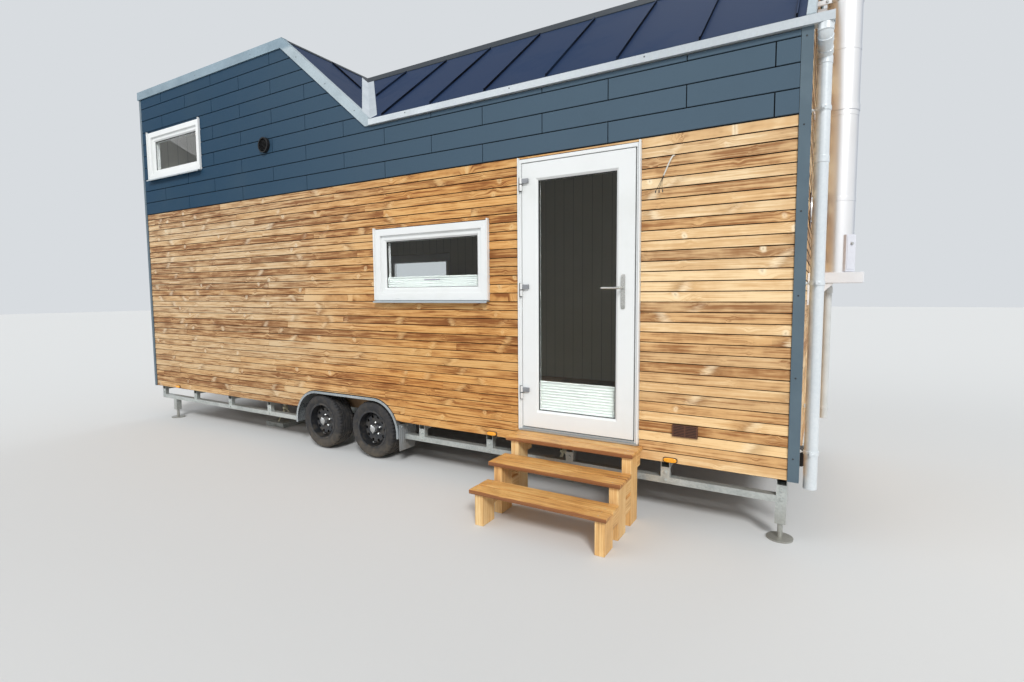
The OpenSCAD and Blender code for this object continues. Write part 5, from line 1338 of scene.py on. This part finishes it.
seal = [(0, stop_y + 2), (0, stop_y - 3), (1.5, stop_y - 4.3), (6, stop_y - 4.3), (7.5, stop_y - 3),
        (7.5, stop_y + 2)]
seal_skin = mitred(front, (leaf_low[0] + 4, leaf_low[2] + 4), (leaf_high[0] - 4, leaf_high[2] - 4), seal, 0.0)
seal_finish = coat("door seal", (196, 198, 198), (176, 178, 178), size=20.0, rough=(0.6, 0.75))
build("door_seal", [seal_skin], seal_finish)

out_y, in_y = leaf_low[1], leaf_high[1]
leaf_outline = [(0, in_y - 2.5), (0, out_y + 2.5), (0.8, out_y + 0.7), (2.6, out_y), (stile_w - 20, out_y),
                (stile_w - 18, out_y + 0.5), (stile_w - 7, out_y + 9), (stile_w - 2.5, out_y + 13),
                (stile_w - 0.2, out_y + 17.5), (stile_w - 0.2, in_y - 13), (stile_w - 6, in_y - 5),
                (stile_w - 20, in_y), (2.6, in_y), (0.8, in_y - 0.7)]
leaf_corners = ((leaf_low[0], leaf_low[2]), (leaf_high[0], leaf_high[2]))
build("door_leaf_profiles", [mitred(front, *leaf_corners, leaf_outline)], window_plastic, "door",
      ["door_leaf"])
leaf_gasket = [(stile_w - 3.4, out_y + 12.2), (stile_w - 1.2, out_y + 11), (stile_w + 2.6, out_y + 15),
               (stile_w + 3.0, out_y + 17.6), (stile_w, out_y + 17.9), (stile_w - 3, out_y + 16)]
build("door_gasket", [mitred(front, *leaf_corners, leaf_gasket, 0.0)], gasket_finish, "door")
dress(glass("door glass", (0.86, 0.88, 0.87, 1.0), (0.94, 0.95, 0.95, 1.0)), "door_glass")
low, high = boxed("door_blind")
door_rail_z = high[2] - 9
build("door_blind_pleats",
      [pleats(low[0] + 1, high[0] - 1, low[2] + 1, door_rail_z, low[1] + 4, 4.0, 10),
       lath([low[0] + 1, low[1] + 1, door_rail_z], [high[0] - 1, high[1] - 1, high[2]], 0, 2.0)],
      blind_cloth, "door", ["door_blind"])

hinge_finish = coat("hinge metal", (150, 152, 156), (124, 126, 130), share=0.4, size=30.0,
                    rough=(0.3, 0.42), Metallic=0.6)
knuckle_d, knuckle_h = 22.0, 96.0
hinge_x, hinge_y = leaf_low[0] - 2.5, hinge_low[1] + knuckle_d / 2
knuckle_ends = np.unique(np.round(spots("door_leaf", lambda p: p[:, 1] < -25)[:, 2], 1))
hinge_tops = knuckle_ends[np.append(np.diff(knuckle_ends) > 100, True)]
flaps, leaf_sleeves, frame_sleeves, hinge_washers_and_shade = [], [], [], []
sleeve_l, sleeve_gap = knuckle_h / 2, 2.6
sleeve = [(8.2, 0), (9.6, 0.8), (10.0, 2.4), (10.0, sleeve_l - 6), (9.2, sleeve_l - 4), (6.0, sleeve_l - 3.1)]
washer = [(9.8, -sleeve_gap), (11.0, -2.0), (11.0, 2.0), (9.8, sleeve_gap)]
for top in hinge_tops:
    middle = top - knuckle_h / 2 + 0.5
    leaf_sleeves.append(turned(sleeve, [hinge_x, hinge_y, middle + sleeve_gap], up, 24))
    frame_sleeves.append(turned(sleeve, [hinge_x, hinge_y, middle - sleeve_gap], -up, 24))
    hinge_washers_and_shade.append(turned(washer, [hinge_x, hinge_y, middle], up, 24))
    # Painted shade: a dark strip behind each knuckle, wider than it, stands for the shadow in the gap behind
    # the knuckle.
    hinge_washers_and_shade.append(lath([hinge_x - 17, hinge_y + 3, middle - 52],
                            [hinge_x + 2, frame_y[0] + 0.4, middle + 50], 2, 2.0))
    flaps.append(lath([hinge_x + 2, hinge_y - 3, middle + 6], [hinge_x + 60, out_y + 0.4, top - 8], 0, 2.5))
    flaps.append(screw([hinge_x + 42, hinge_y - 3, (middle + top) / 2 - 1], [0, -1, 0], 4.5))
sleeve_finish = coat("hinge sleeves", (228, 228, 226), (206, 206, 204), share=0.3, size=30.0,
                     rough=(0.3, 0.42), Metallic=0.2)
# The washers' dark plastic, also used for the painted shade strips.
washer_and_shade_finish = coat("hinge washers and shade", (44, 46, 50), (62, 64, 68), share=0.4, size=30.0, rough=(0.5, 0.6))
build("door_hinge_covers", flaps, hinge_finish, "door")
build("door_hinge_sleeves", leaf_sleeves, sleeve_finish, "door")
build("door_hinge_pins", frame_sleeves, sleeve_finish)
build("door_hinge_washers_and_shade", hinge_washers_and_shade, washer_and_shade_finish)

handle_finish = coat("handle metal", (188, 188, 184), (160, 160, 156), share=0.4, size=40.0, grit=800.0,
                     bump=0.08, rough=(0.26, 0.36), Metallic=0.9)
plate_low, plate_high = boxed("door_plates")
lever_x = (plate_low[0] + plate_high[0]) / 2
lever_end, lever_z = boxed("door_handle")[0][0], np.mean([corner[2] for corner in boxed("door_handle")])
plates, levers = [], []
plate_t, turn_r, lever_out, lever_r, screw_in = 9.0, 14.0, 45.0, 8.6, 22
neck = [(13.5, 0), (13.5, 4), (12.5, 6), (9.5, 7), (9.0, 12), (9.0, 30), (9.0, 31)]
lock_ring = [(9.5, -1), (9.5, 1.0), (8.6, 2.0), (0.8, 2.0)]
bend = np.radians(np.linspace(0, 90, 9))
for face_y, out in ((leaf_low[1], -1.0), (leaf_high[1], 1.0)):
    way = [0, out, 0]
    top_y = face_y + out * plate_t
    plates.append(cushion([plate_low[0], min(face_y, top_y), plate_low[2]],
                          [plate_high[0], max(face_y, top_y), plate_high[2]], way, power=8.0))
    for level in (plate_low[2] + screw_in, plate_high[2] - screw_in):
        plates.append(screw([lever_x, top_y - out * 0.6, level], way, 4.5, 2.0))
    plates.append(turned(lock_ring, [lever_x, top_y, lever_z - 72], way, 20))
    key_y = sorted((top_y, top_y + out * 1.5))
    plates.append(lath([lever_x - 5, key_y[0], lever_z - 94], [lever_x + 5, key_y[1], lever_z - 76], 2, 0.6))
    levers.append(turned(neck, [lever_x, top_y + out * 0.5, lever_z], way, 28))
    grip_y = top_y + out * lever_out
    path = np.concatenate([
        [[lever_x, top_y + out * 20, lever_z]],
        np.stack([lever_x - turn_r + turn_r * np.cos(bend),
                  grip_y - out * turn_r + out * turn_r * np.sin(bend), np.full(9, lever_z)], 1),
        np.stack([np.linspace(lever_x - 30, lever_end + 1, 8), np.full(8, grip_y), np.full(8, lever_z)], 1)])
    levers.append(swept(path, [lever_r] * 16 + [8.0, 5.0], 20))
build("door_plate_covers", plates, handle_finish, "door", ["door_plates"])
build("door_levers", levers, handle_finish, "handle", ["door_handle"])


# The vents
# A round black pipe vent with blades in the dark planks, and a brown grille in two halves low beside the
# door.
black_plastic = coat("vent plastic", (20, 20, 22), (34, 34, 36), size=20.0, rough=(0.6, 0.7),
                     Specular_IOR_Level=0.25)
brown_plastic = coat("grille plastic", (92, 56, 38), (74, 46, 32), share=0.5, size=20.0, rough=(0.4, 0.55))
dress(black_plastic, "vents")
vent_low, vent_high = boxed("vents", lambda p: p[:, 2] > 2000)
grille_low, grille_high = boxed("vents", lambda p: p[:, 2] < 2000)
vent_x, vent_z = (vent_low[0] + vent_high[0]) / 2, (vent_low[2] + vent_high[2]) / 2
vent_r = (vent_high[0] - vent_low[0]) / 2
blade_r, blades = vent_r - 12, []
for level in np.linspace(-0.72, 0.72, 8):
    reach = blade_r * math.sqrt(1 - level ** 2) - 1
    z = vent_z + level * blade_r
    blades.append(lath([vent_x - reach, vent_low[1] + 6, z - 2], [vent_x + reach, vent_low[1] + 20, z + 2],
                       0, 1.2))
rim = [(vent_r - 9, 0), (vent_r - 1, 0.5), (vent_r + 0.6, 2.5), (vent_r + 0.6, 5), (vent_r - 1, 7),
       (vent_r - 9, 7)]
ring_angle = np.linspace(0, 2 * np.pi, 48, endpoint=False)[:, None]
rim_r, rim_y = (np.array(rim)[:, n][None] for n in (0, 1))
blades.append(skin(np.stack([vent_x + rim_r * np.cos(ring_angle), vent_low[1] + rim_y + 0 * ring_angle,
                             vent_z + rim_r * np.sin(ring_angle)], -1), loop=True))
build("vent_blades", blades, black_plastic)
grille_y = grille_low[1]
bars = [lath([grille_low[0] + 1, grille_y - 1.2, z - 3], [grille_high[0] - 1, grille_y + 1.5, z + 3], 0, 1.0)
        for z in np.linspace(grille_low[2] + 4, grille_high[2] - 4, 8)]
bars += [lath([x - 4, grille_y - 2.2, grille_low[2]], [x + 4, grille_y + 1.0, grille_high[2]], 2, 1.0)
         for x in (grille_low[0] + 4, (grille_low[0] + grille_high[0]) / 2, grille_high[0] - 4)]
bars.append(lath([grille_low[0] + 1, grille_y + 1, grille_low[2] + 1],
                 [grille_high[0] - 1, grille_y + 5, grille_high[2] - 1], 0, 0.6))
build("grille_bars", bars, brown_plastic)


# The steps
# Three treads of two oiled larch boards each, screwed down on square posts and bearers.
larch = wood("step larch", (230, 188, 122), (204, 150, 84), (142, 90, 50), (226, 178, 110),
             (104, 58, 28), knots=0.6, rough=(0.46, 0.4))
pale_larch = wood("post larch", (238, 204, 146), (218, 172, 110), (168, 118, 68),
                  (226, 176, 112), (110, 64, 32), knots=0.6, rough=(0.55, 0.48))
tread_low, tread_high = boxed("step_treads")
tread_t, tread_d, going, rise, board_gap = 28.0, 228.0, 236.0, 121.0, 8.0
post_w, post_d, post_in, bearer_h = 62.0, 140.0, 20.0, 100.0
screw_x, screw_y = 56, 26
tread_boards, tread_screws, posts = [], [], []
half_d = (tread_d - board_gap) / 2
# Painted shade: the front board of each tread is darker down its front face and under its nose, through tones
# under 0.
nosing_shade = np.array([0, 0, 0, 0, -0.45, -0.75, -1.0, -1.0, -0.6, 0, 0, 0])


def new_chart():
    """The start of a board's own chart."""
    return 40 * chance.random(), math.floor(40 * chance.random())


for step in range(3):
    step_y = tread_high[1] - tread_d - step * going
    step_z = tread_high[2] - step * rise
    for board_y in (step_y, step_y + half_d + board_gap):
        # Painted shade on the front board's nose.
        front_shade = nosing_shade if board_y == step_y else 0.0
        tread_boards.append(lath([tread_low[0], board_y, step_z - tread_t],
                                 [tread_high[0], board_y + half_d, step_z], 0, 4.0,
                                 0.45 + 0.25 * chance.random() + front_shade, new_chart(), 9))
        for x in (tread_low[0] + screw_x, tread_high[0] - screw_x):
            for inset in (screw_y, half_d - screw_y):
                tread_screws.append(screw([x, board_y + inset, step_z - 0.9], up, 4.5, 1.2))
    for x in (tread_low[0] + 35, tread_high[0] - 15 - post_w):
        top = step_z - tread_t
        posts.append(lath([x, step_y + post_in, 0], [x + post_w, step_y + post_in + post_d, top], 2, 3.0,
                          0.5 + 0.25 * chance.random(), new_chart(), 6))
        reach = max(tread_high[1] - tread_d + post_in + post_d if step else 0, step_y + tread_d - 4)
        posts.append(lath([x + 0.4, step_y + post_in + 2, top - bearer_h],
                          [x + post_w - 0.4, reach, top - 0.2], 1, 3.0, 0.5 + 0.25 * chance.random(),
                          new_chart(), 6))
build("tread_boards", tread_boards, larch, instead_of=["step_treads"])
build("step_posts", posts, pale_larch, instead_of=["step_sides"])
build("tread_screws", tread_screws, nut_finish)


# The flue
# Insulated stainless lengths stacked on a wall console, with clamped bands, wall stays, a tee with its
# cleaning box, a rain cowl on three legs and a drain pipe under the console.
def steel_material():
    """Bright stainless sheet: long faint runs down the pipe vary its gloss, and its edge turns blue-grey by a
    painted reflection of the sky.
    """
    # The blue-grey specular tint is a painted reflection of the sky.
    material = coat("flue steel", (236, 236, 237), (226, 225, 224), share=0.5, size=1.4, grit=60.0,
                    bump=0.0, rough=(0.3, 0.36), Metallic=0.9, Specular_Tint=(0.5, 0.56, 0.66, 1.0))
    tree = material.node_tree
    where = tree.nodes["Texture Coordinate"].outputs["Object"]
    drawn = add(tree, "ShaderNodeMapping", {"Vector": where, "Scale": (22.0, 22.0, 1.1)})
    runs = ramp(tree, noise(tree, drawn.outputs[0], 1.0, 3.0), 0.3, 0.7, 0.3, 0.4)
    tree.links.new(runs, tree.nodes["Principled BSDF"].inputs["Roughness"])
    return material


steel = steel_material()
flue_high = boxed("flue")[1]
cowl_low, cowl_high = boxed("flue", lambda p: p[:, 2] > flue_high[2] - 90)
console_high = boxed("flue", lambda p: p[:, 0] > flue_high[0] - 5)[1]
flue_x, flue_y = (cowl_low[0] + cowl_high[0]) / 2, (cowl_low[1] + cowl_high[1]) / 2
flue_axis = np.array([flue_x, flue_y, 0])
flue_r, bore_r, cowl_h, cowl_gap = 100.0, 75.0, 70.0, 90.0
flue_foot, flue_top = console_high[2], flue_high[2] - cowl_h - cowl_gap
bore_foot = flue_foot + 300
band_levels, stay_levels = (2113.0, 2669.0, 3088.0, 4100.0), (2702.0, 3400.0)
outer = [(flue_r, flue_foot)]
for level in band_levels:
    outer += [(flue_r, level - 3), (flue_r - 0.8, level - 1), (flue_r - 0.8, level + 4), (flue_r, level + 6)]
bored = outer + [(flue_r, flue_top - 2), (flue_r - 1.5, flue_top), (bore_r + 1.5, flue_top),
                 (bore_r, flue_top - 2), (bore_r, bore_foot), (1.0, bore_foot)]
band = [(flue_r + 0.1, 0), (flue_r + 1.2, 0.5), (flue_r + 1.6, 2), (flue_r + 1.6, 28), (flue_r + 1.2, 29.5),
        (flue_r + 0.1, 30)]
collar = [(flue_r + 0.2, 0), (flue_r + 5, 1), (flue_r + 5, 39), (flue_r + 0.2, 40)]
stay_y, stay_half = 60.0, 8
flue_skins, flue_bolts = [turned(bored, flue_axis, up, 96)], []
for level in band_levels:
    flue_skins.append(turned(band, flue_axis + level * up, up, 96))
for level in stay_levels:
    flue_skins.append(turned(collar, flue_axis + level * up, up, 96))
    for side in (-1, 1):
        y = flue_y + side * stay_y
        flue_skins.append(lath([end_face - 1, y - stay_half, level + 5],
                               [flue_x - 55, y + stay_half, level + 35], 0, 2.0))
        flue_bolts += bolt([flue_x - 105, y + side * stay_half, level + 20], [0, side, 0], 13.0, 7.0)
for angle in np.radians([0, 120, 240]):
    leg = flue_axis + (bore_r + 8) * np.array([math.cos(angle), math.sin(angle), 0])
    flue_skins.append(lath(leg + [-5, -5, flue_top - 1], leg + [5, 5, flue_top + cowl_gap + 6], 2, 1.5))
cowl = [(20, 4), (118, 0), (125, 0), (125, 3), (120, 6), (30, 69), (26, cowl_h), (1, cowl_h)]
flue_skins.append(turned(cowl, [flue_x, flue_y, flue_top + cowl_gap], up, 64))
tee_z = (wall_pipe_low[2] + wall_pipe_high[2]) / 2
tee_foot, outward = [end_face + 0.3, flue_y, tee_z], [1, 0, 0]
rose = [(82, 2), (84, 3), (84, 6), (64, 50), (60, 62), (58, 70), (58, 132)]
flue_skins.append(turned(rose, tee_foot, outward, 64))
wall_ring = [(123, 0), (125, 0.8), (125, 1.8), (123, 2.6), (1, 3)]
build("flue_wall_ring", [turned(wall_ring, tee_foot, outward, 64)], brown_plastic)
room_end, room_end_x = [(75, 0), (75, 150), (60, 150), (60, 20), (1, 20)], house_l - 153.5
flue_skins.append(turned(room_end, [room_end_x, flue_y, tee_z], outward, 48))
box_turn = math.radians(-43)


def round_flue(part):
    """A skin made on the flue's +X side, turned about its axis: (x cos a - y sin a, x sin a + y cos a)."""
    x, y, z = (part[0] - flue_axis).T
    cos, sin = math.cos(box_turn), math.sin(box_turn)
    return (np.stack([x * cos - y * sin, x * sin + y * cos, z], 1) + flue_axis, *part[1:])


flue_face, box_low, box_high = flue_x + flue_r, flue_foot + 5, flue_foot + 250
box_half, lid_half, lid_in = 42, 34, 14
box = lath([flue_face - 20, flue_y - box_half, box_low], [flue_face + 13, flue_y + box_half, box_high],
           2, 5.0)
lid = lath([flue_face + 12, flue_y - lid_half, box_low + lid_in],
           [flue_face + 16, flue_y + lid_half, box_high - lid_in], 2, 1.5)
knob = turned([(11, 0), (11, 7), (9, 10), (1, 10)], [flue_face + 15, flue_y, box_high - 60], outward, 16)
flue_bolts.append(round_flue(knob))
build("flue_pipe", flue_skins, steel, instead_of=["flue"])
build("flue_bolts", flue_bolts, nut_finish)
cover_finish = coat("flue covers", (222, 223, 230), (206, 207, 214), share=0.5, size=9.0, rough=(0.35, 0.5),
                    Metallic=0.1)
build("flue_covers", [round_flue(box), round_flue(lid)], cover_finish)
console_finish = coat("console paint", (234, 236, 240), (218, 220, 224), share=0.5, size=6.0,
                      rough=(0.4, 0.55))
console_half, console_h, gusset, gusset_t = 125.0, 69, 150.0, 10.0
console_foot = console_high[2] - console_h
console = [lath([end_face, flue_y - console_half, console_foot],
                [flue_high[0], flue_y + console_half, console_high[2]], 0, 3.0)]
gusset_points = [(0, 1), (gusset, 1), (gusset, -6), (8, -gusset), (0, -gusset), (0, -gusset / 2)]
gusset_x, gusset_z = np.array(gusset_points).T + [[end_face], [console_foot]]
for side_y in (10 - console_half, console_half - 20):
    gusset_y = flue_y + side_y + np.array([[0.0], [gusset_t]])
    console.append(skin(np.stack(np.broadcast_arrays(gusset_x, gusset_y, gusset_z), -1)))
build("flue_console", console, console_finish)
drain_finish = coat("drain pipe", (206, 208, 206), (184, 186, 182), share=0.5, size=8.0, rough=(0.3, 0.42),
                    splash=0.2)
drain_x, drain_foot, drain_r, ring_z = end_face + 122.0, 630.0, 25.0, 690.0
drain_length = [(drain_r - 1, drain_foot), (drain_r, drain_foot + 1), (drain_r, console_foot + 1)]
drain_socket = [(drain_r + 0.2, 0), (drain_r + 3.4, 1), (drain_r + 4, 4), (drain_r + 4, 40),
                (drain_r + 3, 44), (drain_r + 0.2, 45)]
drain_ring = [(drain_r + 0.2, 0), (drain_r + 2.4, 1), (drain_r + 2.4, 22), (drain_r + 0.2, 24)]
drain = [turned(drain_length, [drain_x, flue_y, 0], up, 32),
         turned(drain_socket, [drain_x, flue_y, console_foot - 70], up, 32),
         turned(drain_ring, [drain_x, flue_y, ring_z], up, 32),
         lath([end_face, flue_y - 12, ring_z], [drain_x - 18, flue_y + 12, ring_z + 24], 0, 2.0)]
build("flue_drain", drain, drain_finish)


# The finish
# Colours come out as they are written.
bpy.context.scene.view_settings.view_transform = "Standard"
